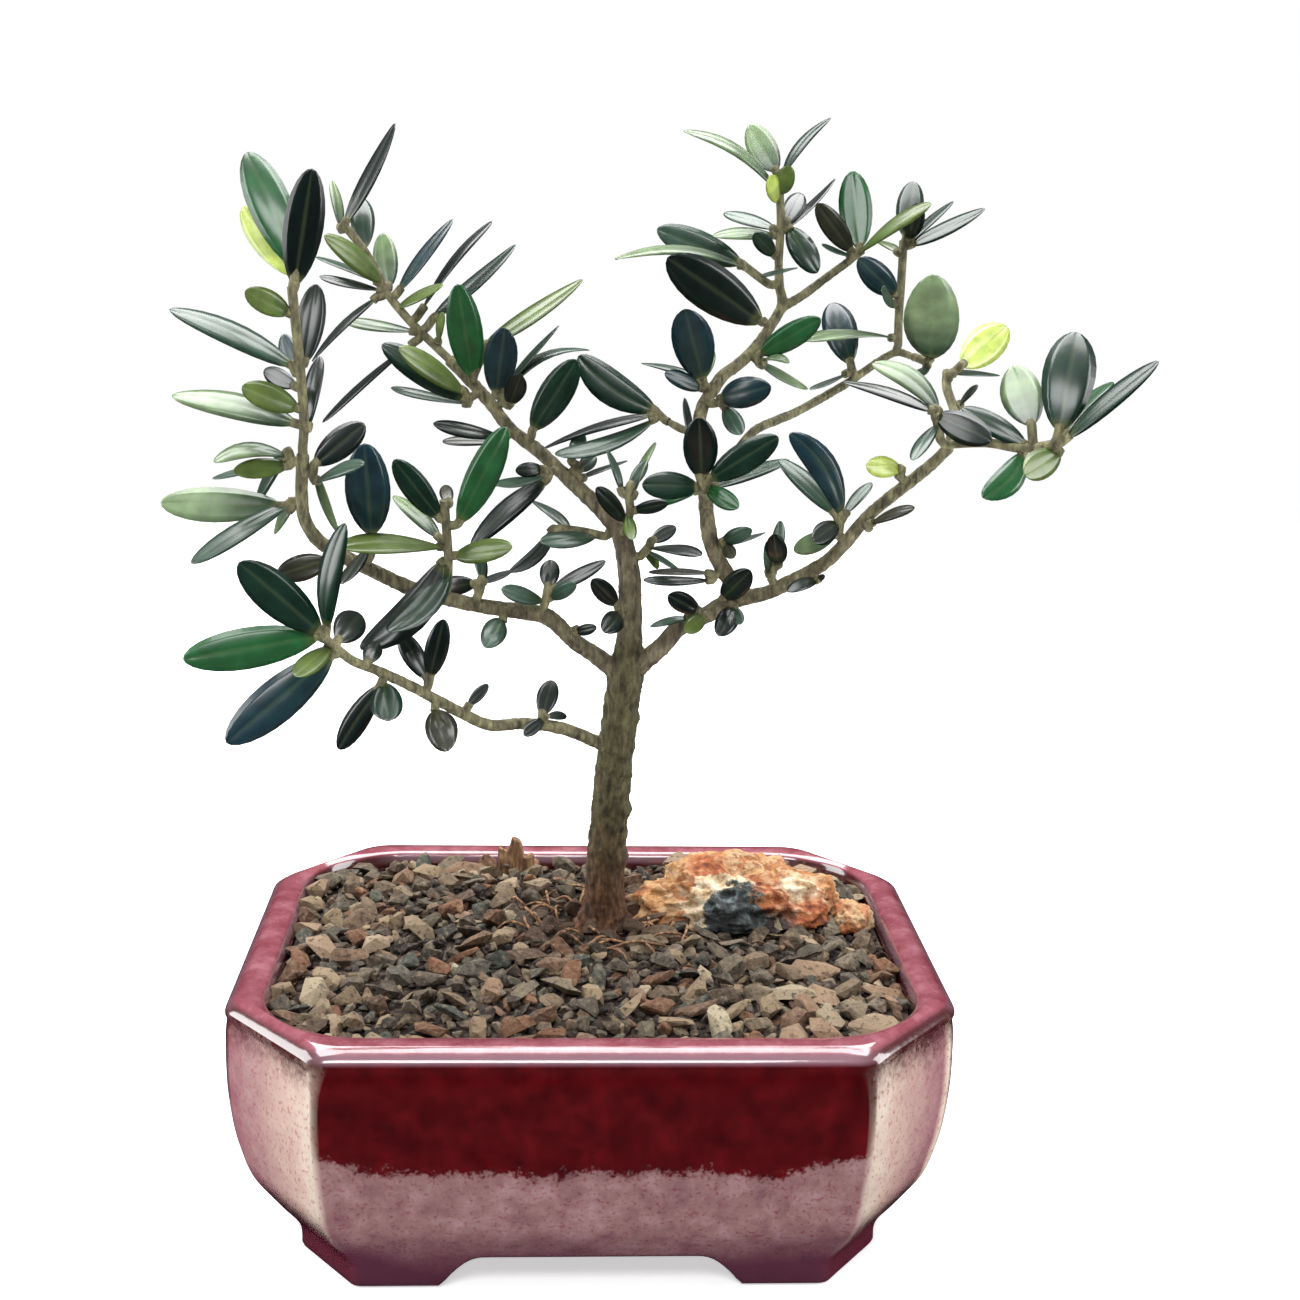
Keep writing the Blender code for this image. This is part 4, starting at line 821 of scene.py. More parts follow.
# %% Crushed grit and damp compost
GRAIN_COLOURS = [
    (0.0, "#221f1e"), (0.09, "#4a413a"), (0.18, "#726759"), (0.26, "#2f302c"), (0.35, "#5e5347"),
    (0.43, "#3e443e"), (0.51, "#87745d"), (0.58, "#463a30"), (0.66, "#76523c"), (0.73, "#54524a"),
    (0.8, "#927f66"), (0.86, "#362e28"), (0.93, "#876c57"), (1.0, "#a39880"),
]
COMPOST = [(0.3, "#0f0b09"), (0.5, "#2a1f19"), (0.72, "#5a483b")]
DAMP_MIDDLE = Vector((*TRUNK_FOOT, 56.0))


def crushed_grit():
    material, tree, shader, place = new_material("crushed clay and stone grit")
    pick = add(tree, "ShaderNodeAttribute", attribute_name="pick").outputs["Fac"]
    colour = add(tree, "ShaderNodeValToRGB", {0: pick}, stops=GRAIN_COLOURS)
    mottle, pores = [add(tree, "ShaderNodeTexNoise", {"Vector": place, "Scale": per_mm(size), "Detail": detail})
                     for size, detail in ((1.1, 4.0), (0.6, 3.0))]
    away = add(tree, "ShaderNodeVectorMath", {0: place, 1: tuple(POT_CENTRE + DAMP_MIDDLE * MM)},
               operation="DISTANCE").outputs["Value"]
    colour = lay_over(tree, colour, "#93806c", mottle, 0.52, 0.75, 0.6)
    colour = lay_over(tree, colour, "#3a2418", away, 26 * MM, 12 * MM, 0.75)
    colour = lay_over(tree, colour, "#241d1a", mottle, 0.45, 0.3, 0.75)
    bump = add(tree, "ShaderNodeBump", {"Height": pores, "Strength": 0.8, "Distance": 0.35 * MM})
    fill(shader, {"Base Color": colour, "Roughness": 0.88, "Specular IOR Level": 0.3, "Normal": bump})
    return material


def damp_compost():
    material, tree, shader, place = new_material("damp compost")
    crumb = add(tree, "ShaderNodeTexNoise", {"Vector": place, "Scale": per_mm(1.5), "Detail": 5.0})
    colour = add(tree, "ShaderNodeValToRGB", {0: crumb}, stops=COMPOST)
    fill(shader, {"Base Color": colour, "Roughness": 0.95})
    return material


# %% Three layers of grit
GRIT_LAYERS = [
    # name, spacing, least and greatest size, lift in mm, seed
    ("grit_bedding", 2.1, 1.8, 3.4, -0.1, 3),
    ("grit_middle", 3.0, 2.8, 5.4, 0.7, 8),
    ("grit_large", 6.8, 5.4, 9.8, 1.6, 5),
]
grit_finish = crushed_grit()
compost_finish = damp_compost()
for slot in frame["nodes"]["soil"].material_slots:
    slot.material = compost_finish
grit_tree = scatter_tree()
for name, spacing, least, greatest, lift, seed in GRIT_LAYERS:
    layer = build_scatter_bed(name)
    use_tree(layer, grit_tree, {
        "Grains": grain_shapes, "Spacing": spacing * MM, "Least Size": least * MM,
        "Greatest Size": greatest * MM, "Lift": lift * MM, "Seed": seed,
        "Finish": compost_finish if name == "grit_bedding" else grit_finish})
    bake(layer)
    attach(layer, "root")
    print(name, "triangles:", triangles(layer))
for shape in list(grain_shapes.objects):
    remove(shape)


# %% [markdown]
# ## Stones and a chip of bark
# A craggy piece of ochre stone lies at the right behind the trunk, with a crust of cream and orange, a dark
# blue-grey crystal patch on its near side, and a painted shadow low on its front. A ball is pushed in and out
# by several sizes of noise, with the sharp folds of ridged noise, and drawn in underneath, where it sits in the
# soil.

# %% Craggy stones
FINE_WAVES = ((7.0, 0.06), (17.0, 0.03))
RIDGE_HEIGHT = 0.16
UNDERCUT = 0.3
EDGE_WANDER = 22.0
OCHRE_CRUST = [(0.28, "#422311"), (0.36, "#844c22"), (0.43, "#a36b36"), (0.49, "#b38859"), (0.54, "#bd9d78"),
               (0.59, "#97592d"), (0.65, "#ad7b49"), (0.74, "#c6ad93")]
RUST = [(0.3, "#52220e"), (0.42, "#813c19"), (0.52, "#9d5528"), (0.6, "#ad7145"), (0.72, "#bb906c")]
CREAM = [(0.3, "#836341"), (0.42, "#be9f77"), (0.55, "#d7c3a6"), (0.7, "#e3d6c1")]
PAINTED_SHADOW_STOPS = [(0.3, "#221a18"), (0.5, "#493b35"), (0.7, "#716256")]
CRYSTAL = [(0.34, "#090a0d"), (0.44, "#171a1f"), (0.52, "#2e3332"), (0.58, "#454e4c"), (0.68, "#6c7880")]
CREAM_CRUST = [(0.3, "#5d2e1b"), (0.42, "#a55f37"), (0.52, "#b49068"), (0.66, "#c8b597")]


def crag(name, centre, half_sizes, roughness, fineness, seed):
    """A rough stone from a finely divided ball and several sizes of noise."""
    ball = bmesh.new()
    bmesh.ops.create_icosphere(ball, subdivisions=fineness, radius=1.0)
    offset = Vector((seed, 0.0, 0.0))
    for vert in ball.verts:
        way = vert.co.copy()
        push = 1.0 + roughness * noise.noise(way * 1.7 + offset)
        ridges = noise.ridged_multi_fractal(way * 2.3 + offset, 1.0, 2.1, 5, 1.0, 2.0)
        push += RIDGE_HEIGHT * ridges - RIDGE_HEIGHT
        for fine, height in FINE_WAVES:
            push += height * noise.noise(way * fine + offset)
        undercut = 1.0 - UNDERCUT * max(0.0, min(1.0, -3.0 * way.z))
        shape = Vector((way.x * undercut, way.y * undercut, way.z)) * push
        vert.co = POT_CENTRE + Vector([shape[k] * half_sizes[k] + centre[k] for k in range(3)]) * MM
    mesh = as_mesh(name, ball)
    mesh.shade_smooth()
    return in_scene(name, mesh)


def crusted_stone(name, crust_stops, patches):
    """Weathered stone with pits, and patches as (centre in mm, where full, where gone, colours)."""
    material, tree, shader, place = new_material(name)
    large, fine = [
        add(tree, "ShaderNodeTexNoise", {
            "Vector": place, "Scale": per_mm(size), "Detail": detail, "Roughness": roughness})
        for size, detail, roughness in ((9, 6.0, 0.65), (2.2, 5.0, 0.5))]
    colour = add(tree, "ShaderNodeValToRGB", {0: large}, stops=crust_stops)
    colour = lay_over(tree, colour, "#4f2a14", fine, 0.42, 0.3, 0.7)
    for centre, full, gone, stops in patches:
        middle = tuple(POT_CENTRE + Vector(centre) * MM)
        away = add(tree, "ShaderNodeVectorMath", {0: place, 1: middle}, operation="DISTANCE").outputs["Value"]
        edge = add(tree, "ShaderNodeMath", {0: large, 1: EDGE_WANDER * MM, 2: away}, operation="MULTIPLY_ADD")
        patch = add(tree, "ShaderNodeValToRGB", {0: fine}, stops=stops)
        start, end = [(radius + EDGE_WANDER / 2) * MM for radius in (gone, full)]
        colour = lay_over(tree, colour, patch, edge, start, end)
    bump = add(tree, "ShaderNodeBump", {"Height": fine, "Strength": 1.0, "Distance": 1.6 * MM})
    fill(shader, {"Base Color": colour, "Roughness": 0.72, "Normal": bump})
    return material


STONES = [
    # piece, node, centre and half sizes in mm, roughness, fineness, seed, finish, crust, patches
    ("craggy_stone", "ochre_stone", (35.0, 17.5, 57.5), (22.8, 15.6, 11.6), 0.26, 6, 4.0,
     "ochre crusted stone", OCHRE_CRUST, [
         ((48.0, 6.0, 60.0), 9.0, 14.0, RUST), ((28.0, 14.0, 68.0), 4.0, 8.0, RUST),
         # Of the next two patches, the low one at the front is a painted shadow where the stone overhangs the
         # soil
         ((50.0, 12.0, 68.0), 4.0, 7.0, CREAM), ((38.0, 2.0, 54.0), 8.0, 12.0, PAINTED_SHADOW_STOPS),
         ((29.5, 5.0, 62.0), 8.6, 9.6, CREAM), ((34.0, 2.0, 60.5), 7.2, 8.4, CRYSTAL)]),
    ("small_stone", "cream_stone", (63.2, 12.6, 56.0), (5.4, 6.8, 5.0), 0.22, 5, 9.0,
     "cream crusted stone", CREAM_CRUST, [((61.0, 5.0, 54.0), 3.0, 6.0, RUST)]),
]
for name, node, centre, half_sizes, roughness, fineness, seed, finish, crust, patches in STONES:
    stone = crag(name, centre, half_sizes, roughness, fineness, seed)
    stone.data.materials.append(crusted_stone(finish, crust, patches))
    stands_for(stone, node)


# %% [markdown]
# The bark chip stands on its edge at the back. It is a torn flake with fibres that run upwards, so its
# outline is drawn once, made thick, divided finely and pushed about by noise stretched along the fibres.

# %% Bark chip
CHIP_FOOT = (-18.0, 50.0)
CHIP_SIZE = (9.0, 2.6, 10.5)
CHIP_TILT = 0.16
CHIP_OUTLINE = [(-0.5, -0.3), (0.45, -0.3), (0.5, 0.62), (0.2, 0.5), (0.1, 0.92), (-0.16, 1.0), (-0.26, 0.68),
                (-0.5, 0.8)]
CHIP_VOXEL = 0.4
FIBRE_DEPTH = 0.55
FIBRE_SWAY = 0.6
TORN_BARK = [(0.3, "#3d281b"), (0.5, "#7d5b41"), (0.72, "#b8946d")]


def build_chip():
    width, thick, tall = CHIP_SIZE
    points = []
    for side in (-0.5, 0.5):
        for across, up in CHIP_OUTLINE:
            x = CHIP_FOOT[0] + across * width
            y = CHIP_FOOT[1] + side * thick + up * tall * CHIP_TILT
            points.append(POT_CENTRE + Vector((x, y, SOIL_EDGE + up * tall)) * MM)
    count = len(CHIP_OUTLINE)
    faces = [tuple(reversed(range(count))), tuple(range(count, 2 * count))]
    faces += [(i, (i + 1) % count, count + (i + 1) % count, count + i) for i in range(count)]
    chip = mesh_object("bark_flake", points, faces)
    outward(chip)
    add_voxels(chip, CHIP_VOXEL)
    bake(chip)
    for vert in chip.data.vertices:
        fibre = Vector((vert.co.x * 900, vert.co.y * 900, vert.co.z * 180))
        vert.co.y += noise.noise(fibre) * FIBRE_DEPTH * MM
        vert.co.x += noise.noise(fibre * 0.6 + Vector((7, 0, 0))) * FIBRE_SWAY * MM
    return chip


def rough_bark():
    material, tree, shader, place = new_material("torn pine bark")
    grain = add(tree, "ShaderNodeMapping", {"Vector": place, "Scale": (1.0, 1.0, 0.2)})
    fibre = add(tree, "ShaderNodeTexNoise", {"Vector": grain, "Scale": per_mm(1.2), "Detail": 5.0})
    colour = add(tree, "ShaderNodeValToRGB", {0: fibre}, stops=TORN_BARK)
    bump = add(tree, "ShaderNodeBump", {"Height": fibre, "Strength": 0.9, "Distance": 0.6 * MM})
    fill(shader, {"Base Color": colour, "Roughness": 0.9, "Normal": bump})
    return material


chip = build_chip()
torn_bark = rough_bark()
chip.data.materials.append(torn_bark)
stands_for(chip, "bark_chip")


# %% [markdown]
# ## Trunk and limbs
# The tree was read on an upright plane through the trunk: each limb is a route of places on that plane, with a
# depth behind it and a radius. `seen` moves a place along the line of sight to its depth, so the tree keeps its
# look from the front and still has real depth from the side.
#
# Each route is drawn as a bevelled curve, and a voxel remesh melts the limbs into one skin with soft
# forks, as wood grows. Then the skin is moved by noise for bark and by small swellings for old knots.

# %% Routes of the limbs
TRUNK = [
    (2.9, 54, 10, 7), (3.1, 60, 10, 5.9), (3.2, 65, 9, 4.9), (3.3, 75, 8, 4.3),
    (4.3, 90, 6, 4.1), (5, 100, 4, 3.9), (6, 110, 2, 3.8), (7.1, 119, 0, 3.9),
    (7.6, 124, 0, 3.3), (7.8, 130, 0, 2.6), (7.7, 140, 0, 2.4), (6.6, 148, 0, 2.2),
    (4.8, 153.5, 2, 2), (-1, 159.5, 5, 1.6), (-5.5, 163.5, 7, 1.5), (-12.5, 170, 10, 1.4),
    (-19, 175, 12, 1.3), (-23, 180, 14, 1.3), (-26.5, 184, 15, 1.25),
    (-32.5, 190, 17, 1.2),
]
LEFT_LIMB = [
    (7, 119.5, 0, 2.6), (3.5, 122, -0.5, 2), (0, 124.5, -1, 1.75), (-5, 128, -3, 1.65),
    (-8.5, 131.5, -5, 1.7), (-11.5, 133.5, -6, 1.75), (-16, 134.2, -7, 1.6),
    (-25, 135.4, -9, 1.5), (-33, 137, -11, 1.45), (-41.5, 139.5, -14, 1.5),
    (-50, 143.5, -17, 1.4), (-56, 146.4, -19, 1.4), (-61.5, 150, -21, 1.3),
    (-64.2, 154.5, -23, 1.25), (-64.8, 160, -24, 1.2), (-64.4, 169, -26, 1.2),
]
LOW_BRANCH = [
    (4.6, 102.6, 3.6, 1.9), (0.3, 104.4, 1, 1.35), (-5.5, 106.8, -3, 1.3), (-11, 108, -7, 1.2),
    (-17, 108.3, -11, 1.2), (-23.5, 107.9, -15, 1.15), (-29.5, 110.5, -20, 1.1),
    (-35, 113.5, -24, 1.05), (-42.5, 117.5, -30, 1), (-48.5, 120.3, -34, 1),
]
RIGHT_LIMB = [
    (7.6, 120.5, 0, 2.6), (11.5, 123.4, -1, 2.1), (15.5, 127, -2, 1.95), (18.5, 130.6, -2.5, 1.85),
    (22, 132.6, -3, 1.8), (26, 134.6, -4, 1.75), (29.5, 136.8, -5, 1.8), (33.5, 138, -6, 1.6),
    (39, 139.4, -8, 1.45), (45, 142.5, -10, 1.4), (51, 146, -12, 1.35),
    (55.5, 150.5, -14, 1.3), (60.7, 157, -16, 1.25), (67.5, 163, -19, 1.2),
    (73.5, 168, -22, 1.15), (78, 172.6, -24, 1.05),
]
RISER = [
    (29.5, 136.8, -5, 1.9), (31, 140.5, -6, 1.7), (28.5, 144.5, -7, 1.7), (25.8, 150, -8, 1.6),
    (24.6, 156, -7, 1.5), (24, 161, -4, 1.45), (23, 168, 2, 1.4), (22.3, 175, 6, 1.35),
    (22.7, 180, 9, 1.3), (24.8, 184, 11, 1.3), (27, 187.3, 12, 1.25), (30.8, 190.3, 14, 1.2),
    (34, 193.6, 16, 1.15), (37, 198, 18, 1.1), (39.6, 203, 20, 1.05),
    (38.9, 207, 21, 0.95), (38.6, 211.4, 22, 0.85),
]
CROWN_TWIG = [
    (39.2, 202.2, 19.7, 1), (44, 205.1, 22, 0.9), (48, 208.2, 25, 0.85), (53, 212, 28, 0.8),
]
CROSS_BRANCH = [
    (24, 161, -4, 1.2), (30, 170, 4, 0.9), (34.5, 175.5, 9, 0.9), (39.5, 178, 13, 0.9),
    (44.5, 180.3, 17, 0.85), (54.5, 186.3, 24, 0.85), (60, 190.2, 26, 0.8), (65, 193.2, 27, 0.8),
    (69, 192.3, 23, 0.7),
]
LITTLE_TWIG = [(22.3, 175, 6, 1), (18.7, 175.6, 7, 0.8), (15.5, 177.2, 9, 0.7)]
LIMBS = [TRUNK, LEFT_LIMB, LOW_BRANCH, RIGHT_LIMB, RISER, CROWN_TWIG, CROSS_BRANCH, LITTLE_TWIG]


def seen(x, z, depth):
    """The point, in mm, at a depth behind the trunk plane that looks as if it lay at (x, z) on it."""
    on_plane = Vector((x, 0.0, z))
    return EYE + (on_plane - EYE) * ((depth - EYE.y) / -EYE.y)


def smooth_route(points, radii, pitch):
    """A route redrawn through its points as a smooth line with a place every `pitch` mm."""
    places, sizes = [], []
    for i in range(len(points) - 1):
        before = points[i - 1] if i > 0 else points[i] * 2 - points[i + 1]
        after = points[i + 2] if i + 2 < len(points) else points[i + 1] * 2 - points[i]
        start, end = points[i], points[i + 1]
        steps = max(1, round((end - start).length / pitch))
        for step in range(steps):
            t = step / steps
            places.append(0.5 * (2 * start + (end - before) * t
                                 + (2 * before - 5 * start + 4 * end - after) * t * t
                                 + (3 * start - before - 3 * end + after) * t ** 3))
            sizes.append(radii[i] + (radii[i + 1] - radii[i]) * t)
    return places + [points[-1]], sizes + [radii[-1]]


# %% Grow the wood
ROOTS = [
    # bearing in degrees, reach in mm, radius at the trunk in mm
    (200, 14.0, 3.2), (240, 12.5, 2.8), (282, 14.5, 3.1), (325, 12.0, 2.7), (10, 13.5, 3.0), (75, 11.0, 2.6),
    (140, 12.0, 2.8),
]
KNOTS = [
    # x and z on the trunk plane, depth, size in mm
    (0, 78, 5, 2), (7.4, 76.5, 6, 2.2), (8.2, 88, 4.5, 2.3), (6.6, 84, 3.5, 1.8),
    (0.6, 97.5, 2, 2), (1.4, 92, 3, 1.7), (8.6, 97, 1, 2), (3, 103, -0.5, 2),
    (9.2, 109, 0, 1.9), (4, 116, -3, 2.4), (-3.6, 127, -5, 1.5), (-18, 134, -9, 1.4),
    (14, 125, -4, 1.6), (26, 134, -6, 1.7), (-40, 139, -15, 1.3), (8, 131, -2.6, 1.4),
    (39, 139.8, -10, 1.3), (25, 156, -8.6, 1.3), (-13, 170, 8.5, 1.2), (56, 151, -15, 1.2),
]
VOXEL = 0.42
ROUTE_PITCH = 0.8
LIMB_REACH = 9.0
FLARE_TOP = 68.0
FLARE_HEIGHT = 14.0
FLARE_DEPTH = 0.7
BARK_SWELL = 0.18
PLATE_DEPTH = 0.42
CRUMB_DEPTH = 0.2
LUMP_DEPTH = 0.5
KNOT_SPREAD = 1.5
KNOT_HEIGHT = 0.165


def curve_object(name, routes):
    """One curve object with a spline for each route of (points in mm, radii in mm)."""
    curve = bpy.data.curves.new(name, "CURVE")
    curve.dimensions = "3D"
    for points, radii in routes:
        spline = curve.splines.new("POLY")
        spline.points.add(len(points) - 1)
        for slot, point, radius in zip(spline.points, points, radii):
            slot.co = (*(POT_CENTRE + point * MM), 1.0)
            slot.radius = radius
    return in_scene(name, curve)


def swept(name, routes, resolution):
    """Round tubes along the routes, from a curve whose bevel of 1 mm is scaled by each radius."""
    lines = curve_object(name, routes)
    lines.data.bevel_depth = MM
    lines.data.bevel_resolution = resolution
    lines.data.use_fill_caps = True
    bpy.context.view_layer.update()
    mesh = bpy.data.meshes.new_from_object(lines.evaluated_get(bpy.context.evaluated_depsgraph_get()))
    remove(lines)
    return in_scene(name, mesh)


def root_route(bearing, reach, radius):
    """A surface root: out of the flare, over a hump and down into the soil."""
    foot = seen(*TRUNK[0][:3])
    way = Vector((cos(radians(bearing)), sin(radians(bearing)), 0.0))
    side = Vector((-way.y, way.x, 0.0))
    line = ((1.2, 12.0, 0.0, 1.1), (3.6, 7.4, 0.3, 1.0), (7.0, 4.3, 0.9, 0.8),
            (0.8 * reach + 1.5, 2.6, 0.4, 0.55), (reach + 1.5, -0.4, -0.6, 0.3))
    points = [foot + way * out + side * swing + Vector((0, 0, up)) for out, up, swing, _ in line]
    return smooth_route(points, [radius * share for *_, share in line], ROUTE_PITCH)


def grow_wood():
    routes = [smooth_route([seen(*row[:3]) for row in limb], [row[3] for row in limb], ROUTE_PITCH)
              for limb in LIMBS]
    wood = swept("olive_wood", routes + [root_route(*row) for row in ROOTS], 4)
    add_voxels(wood, VOXEL)
    soften = wood.modifiers.new("soften", "SMOOTH")
    soften.iterations = 3
    soften.factor = 0.5
    bake(wood)
    return wood, routes


def roughen(wood, routes):
    """Move the skin by bark noise and knots, and note how thick the wood is at each point."""
    places = [p for points, _ in routes for p in points]
    sizes = [r for _, radii in routes for r in radii]
    tree = kdtree.KDTree(len(places))
    for number, place in enumerate(places):
        tree.insert(place, number)
    tree.balance()
    knots = [(seen(x, z, depth), size) for x, z, depth, size in KNOTS]
    girth = []
    normals = [vert.normal.copy() for vert in wood.data.vertices]
    for vert, normal in zip(wood.data.vertices, normals):
        place = (vert.co - POT_CENTRE) / MM
        near_by = tree.find_range(place, LIMB_REACH) or [tree.find(place)]
        radius = sizes[min(near_by, key=lambda hit: hit[2] - sizes[hit[1]])[1]]
        girth.append(radius)
        depth = min(1.0, radius / 4.0)
        plates = noise.noise(Vector((place.x * 1.1, place.y * 1.1, place.z * 0.42)))
        crumbs = noise.noise(place * 1.9)
        push = BARK_SWELL + depth * (PLATE_DEPTH * plates + CRUMB_DEPTH * crumbs)
        push += LUMP_DEPTH * max(0.0, noise.noise(place * 0.33 + Vector((9, 0, 0)))) * depth
        if place.z < FLARE_TOP:
            push += FLARE_DEPTH * noise.noise(place * 0.8) * (FLARE_TOP - place.z) / FLARE_HEIGHT
        for knot, size in knots:
            near = (place - knot).length
            if near < size * KNOT_SPREAD:
                push += KNOT_HEIGHT * size * (1 + cos(pi * near / (size * KNOT_SPREAD)))
        vert.co += normal * push * MM
    mark(wood, "FLOAT", girth=girth)


wood, wood_routes = grow_wood()
roughen(wood, wood_routes)


# %% [markdown]
# Round the trunk's foot the grit is crossed by fine dead roots. Each is a short wavering line that
# starts at a random bearing, lies on the grains and sinks at its ends, swept into a thread that tapers.

# %% Fine rootlets on the soil
ROOTLETS = 34
ROOTLET_RADII = [0.16, 0.3, 0.34, 0.26, 0.12]
ROOTLET_START = (7.0, 20.0)
ROOTLET_REACH = (6.0, 13.0)
ROOTLET_TURN = 1.3
ROOTLET_ARCH = 2.6
ROOTLET_LIFT = (0.3, 1.2)
FARTHEST_ROOTLET = 0.94


def grow_rootlets():
    random = Random(23)
    routes = []
    for _ in range(ROOTLETS):
        bearing = random.uniform(0, 2 * pi)
        start = random.uniform(*ROOTLET_START)
        reach = random.uniform(*ROOTLET_REACH)
        turn = random.uniform(-ROOTLET_TURN, ROOTLET_TURN)
        points = []
        for step in range(5):
            t = step / 4
            way = bearing + turn * (t - 0.5) * 0.8
            out = start + reach * t * cos(turn)
            x, y = TRUNK_FOOT.x + cos(way) * out, TRUNK_FOOT.y + sin(way) * out
            lift = ROOTLET_ARCH * sin(pi * t) + random.uniform(*ROOTLET_LIFT)
            points.append(Vector((x, y, soil_height(x, y) + lift)))
        if max(soil_share(point.x, point.y) for point in points) < FARTHEST_ROOTLET:
            routes.append(smooth_route(points, ROOTLET_RADII, ROUTE_PITCH))
    rootlets = swept("rootlets", routes, 1)
    rootlets.data.shade_smooth()
    return rootlets


rootlets = grow_rootlets()
rootlets.data.materials.append(torn_bark)
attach(rootlets, "root")
print("rootlets triangles:", triangles(rootlets))


# %% [markdown]
# Olive bark is smooth and grey-olive while young and flakes to brown where it is old. Its colour here
# follows the wood's thickness, stored on the mesh as `girth`: young shoots are straw and olive, the
# trunk is grey-brown with green algae and dark cracks, and the flare at the soil is a warmer brown.

# %% Olive bark
YOUNG_BARK = [(0.3, "#37342a"), (0.46, "#5c583f"), (0.6, "#7c7857"), (0.75, "#a09a77")]
LIMB_BARK = [(0.3, "#352e22"), (0.5, "#5a503d"), (0.7, "#7f7760")]
OLD_BARK = [(0.3, "#231f11"), (0.42, "#3d3921"), (0.56, "#544f31"), (0.72, "#716a48")]
FLARE_BARK = [(0.32, "#25140d"), (0.5, "#553622"), (0.7, "#805a3d")]


def olive_bark(name, from_girth):
    """Bark whose age is read from the girth attribute, or young bark all over."""
    material, tree, shader, place = new_material(name)
    grain = add(tree, "ShaderNodeMapping", {"Vector": place, "Scale": (1.0, 1.0, 0.35)})
    plate = add(tree, "ShaderNodeTexNoise", {
        "Vector": grain, "Scale": per_mm(1.5), "Detail": 7.0, "Roughness": 0.68})
    colour = add(tree, "ShaderNodeValToRGB", {0: plate}, stops=YOUNG_BARK)
    if from_girth:
        height = add(tree, "ShaderNodeSeparateXYZ", {0: place}).outputs["Z"]
        girth = add(tree, "ShaderNodeAttribute", attribute_name="girth").outputs["Fac"]
        patch = add(tree, "ShaderNodeTexNoise", {"Vector": place, "Scale": per_mm(5), "Detail": 4.0})
        crease = add(tree, "ShaderNodeMapping", {"Vector": place, "Scale": (1.0, 1.0, 0.16)})
        crease = add(tree, "ShaderNodeTexNoise", {"Vector": crease, "Scale": per_mm(1.1), "Detail": 3.0})
        limb, old, flare = [add(tree, "ShaderNodeValToRGB", {0: plate}, stops=stops)
                            for stops in (LIMB_BARK, OLD_BARK, FLARE_BARK)]
        old = lay_over(tree, old, "#4b5132", patch, 0.5, 0.66, 0.3)
        colour = lay_over(tree, colour, limb, girth, 1.2, 1.9)
        colour = lay_over(tree, colour, old, girth, 2.2, 3.2)
        colour = lay_over(tree, colour, "#1f1a12", crease, 0.44, 0.35, 0.6)
        colour = lay_over(tree, colour, flare, height, 88 * MM, 63 * MM)
    bump = add(tree, "ShaderNodeBump", {"Height": plate, "Strength": 0.7, "Distance": 0.5 * MM})
    fill(shader, {"Base Color": colour, "Roughness": 0.78, "Normal": bump})
    return material


wood.data.materials.append(olive_bark("weathered olive bark", True))
stands_for(wood, "trunk_and_limbs")


# %% [markdown]
# ## The leaves
# An olive leaf is leathery: a long ellipse, glossy and domed above, with its margins rolled down a
# little and a groove along the midrib, and matt and silvery beneath. Three such leaves are modelled
# once, flat, curling and twisted, each a thin closed body one unit long and one unit wide.

# %% Three leaves to grow from
LEAF_STATIONS = [0.0, 0.04, 0.1, 0.19, 0.3, 0.42, 0.54, 0.66, 0.77, 0.87, 0.94, 0.985]
MIDRIB_HALF = 0.12
LEAF_COLUMNS = [-1.0, -0.62, -MIDRIB_HALF, 0.0, MIDRIB_HALF, 0.62, 1.0]
GROOVE_DEPTH = 0.018
BLADE_THICKNESS = 0.04
MARGIN_THINNING = 0.8
KEEL_DEPTH = 0.02
LEAF_SHAPES = [
    # arch of the whole leaf, curl of the tip, roll of the margins, twist in radians
    (0.10, 0.00, 0.06, 0.12),
    (0.17, -0.12, 0.09, -0.25),
    (0.03, 0.12, 0.03, 0.28),
]


def leaf_width(share):
    """Half the leaf's width at a share of its length, broadest just past the middle."""
    return 0.5 * max(0.09, (4 * share ** 1.12 * (1 - share ** 1.12)) ** 0.56)


def leaf_prototype(number, group):
    arch, curl, roll, twist = LEAF_SHAPES[number]
    points, shares, unders, ups = [], [], [], []

    def put(share, u, under):
        half = leaf_width(share)
        dome = arch * 4 * share * (1 - share) + curl * share ** 2.5 - roll * u * u * half * 2
        midrib = max(0.0, 1 - abs(u) / MIDRIB_HALF)
        top = -GROOVE_DEPTH * midrib * min(1.0, share * 8)
        bottom = -BLADE_THICKNESS * (1 - MARGIN_THINNING * u * u) - KEEL_DEPTH * midrib
        x, z = u * half, dome + (bottom if under else top)
        angle = twist * (share - 0.5)
        points.append((x * cos(angle) - (z - dome) * sin(angle), share, z + x * sin(angle)))
        shares.append(share)
        unders.append(float(under))
        ups.append(u)

    for share in LEAF_STATIONS:
        for u in LEAF_COLUMNS:
            put(share, u, False)
        for u in LEAF_COLUMNS[-2:0:-1]:
            put(share, u, True)
    put(1.0, 0.0, False)
    ring = 2 * len(LEAF_COLUMNS) - 2
    last = (len(LEAF_STATIONS) - 1) * ring
    faces = [tuple(reversed(range(ring)))]
    for low in range(0, last, ring):
        faces += [(low + i, low + (i + 1) % ring, low + ring + (i + 1) % ring, low + ring + i)
                  for i in range(ring)]
    faces += [(last + i, last + (i + 1) % ring, len(points) - 1) for i in range(ring)]
    leaf = mesh_object(f"leaf_{number}", points, faces)
    outward(leaf)
    mark(leaf, "FLOAT", share=shares, under=unders, across=ups)
    bpy.context.scene.collection.objects.unlink(leaf)
    group.objects.link(leaf)
    return leaf


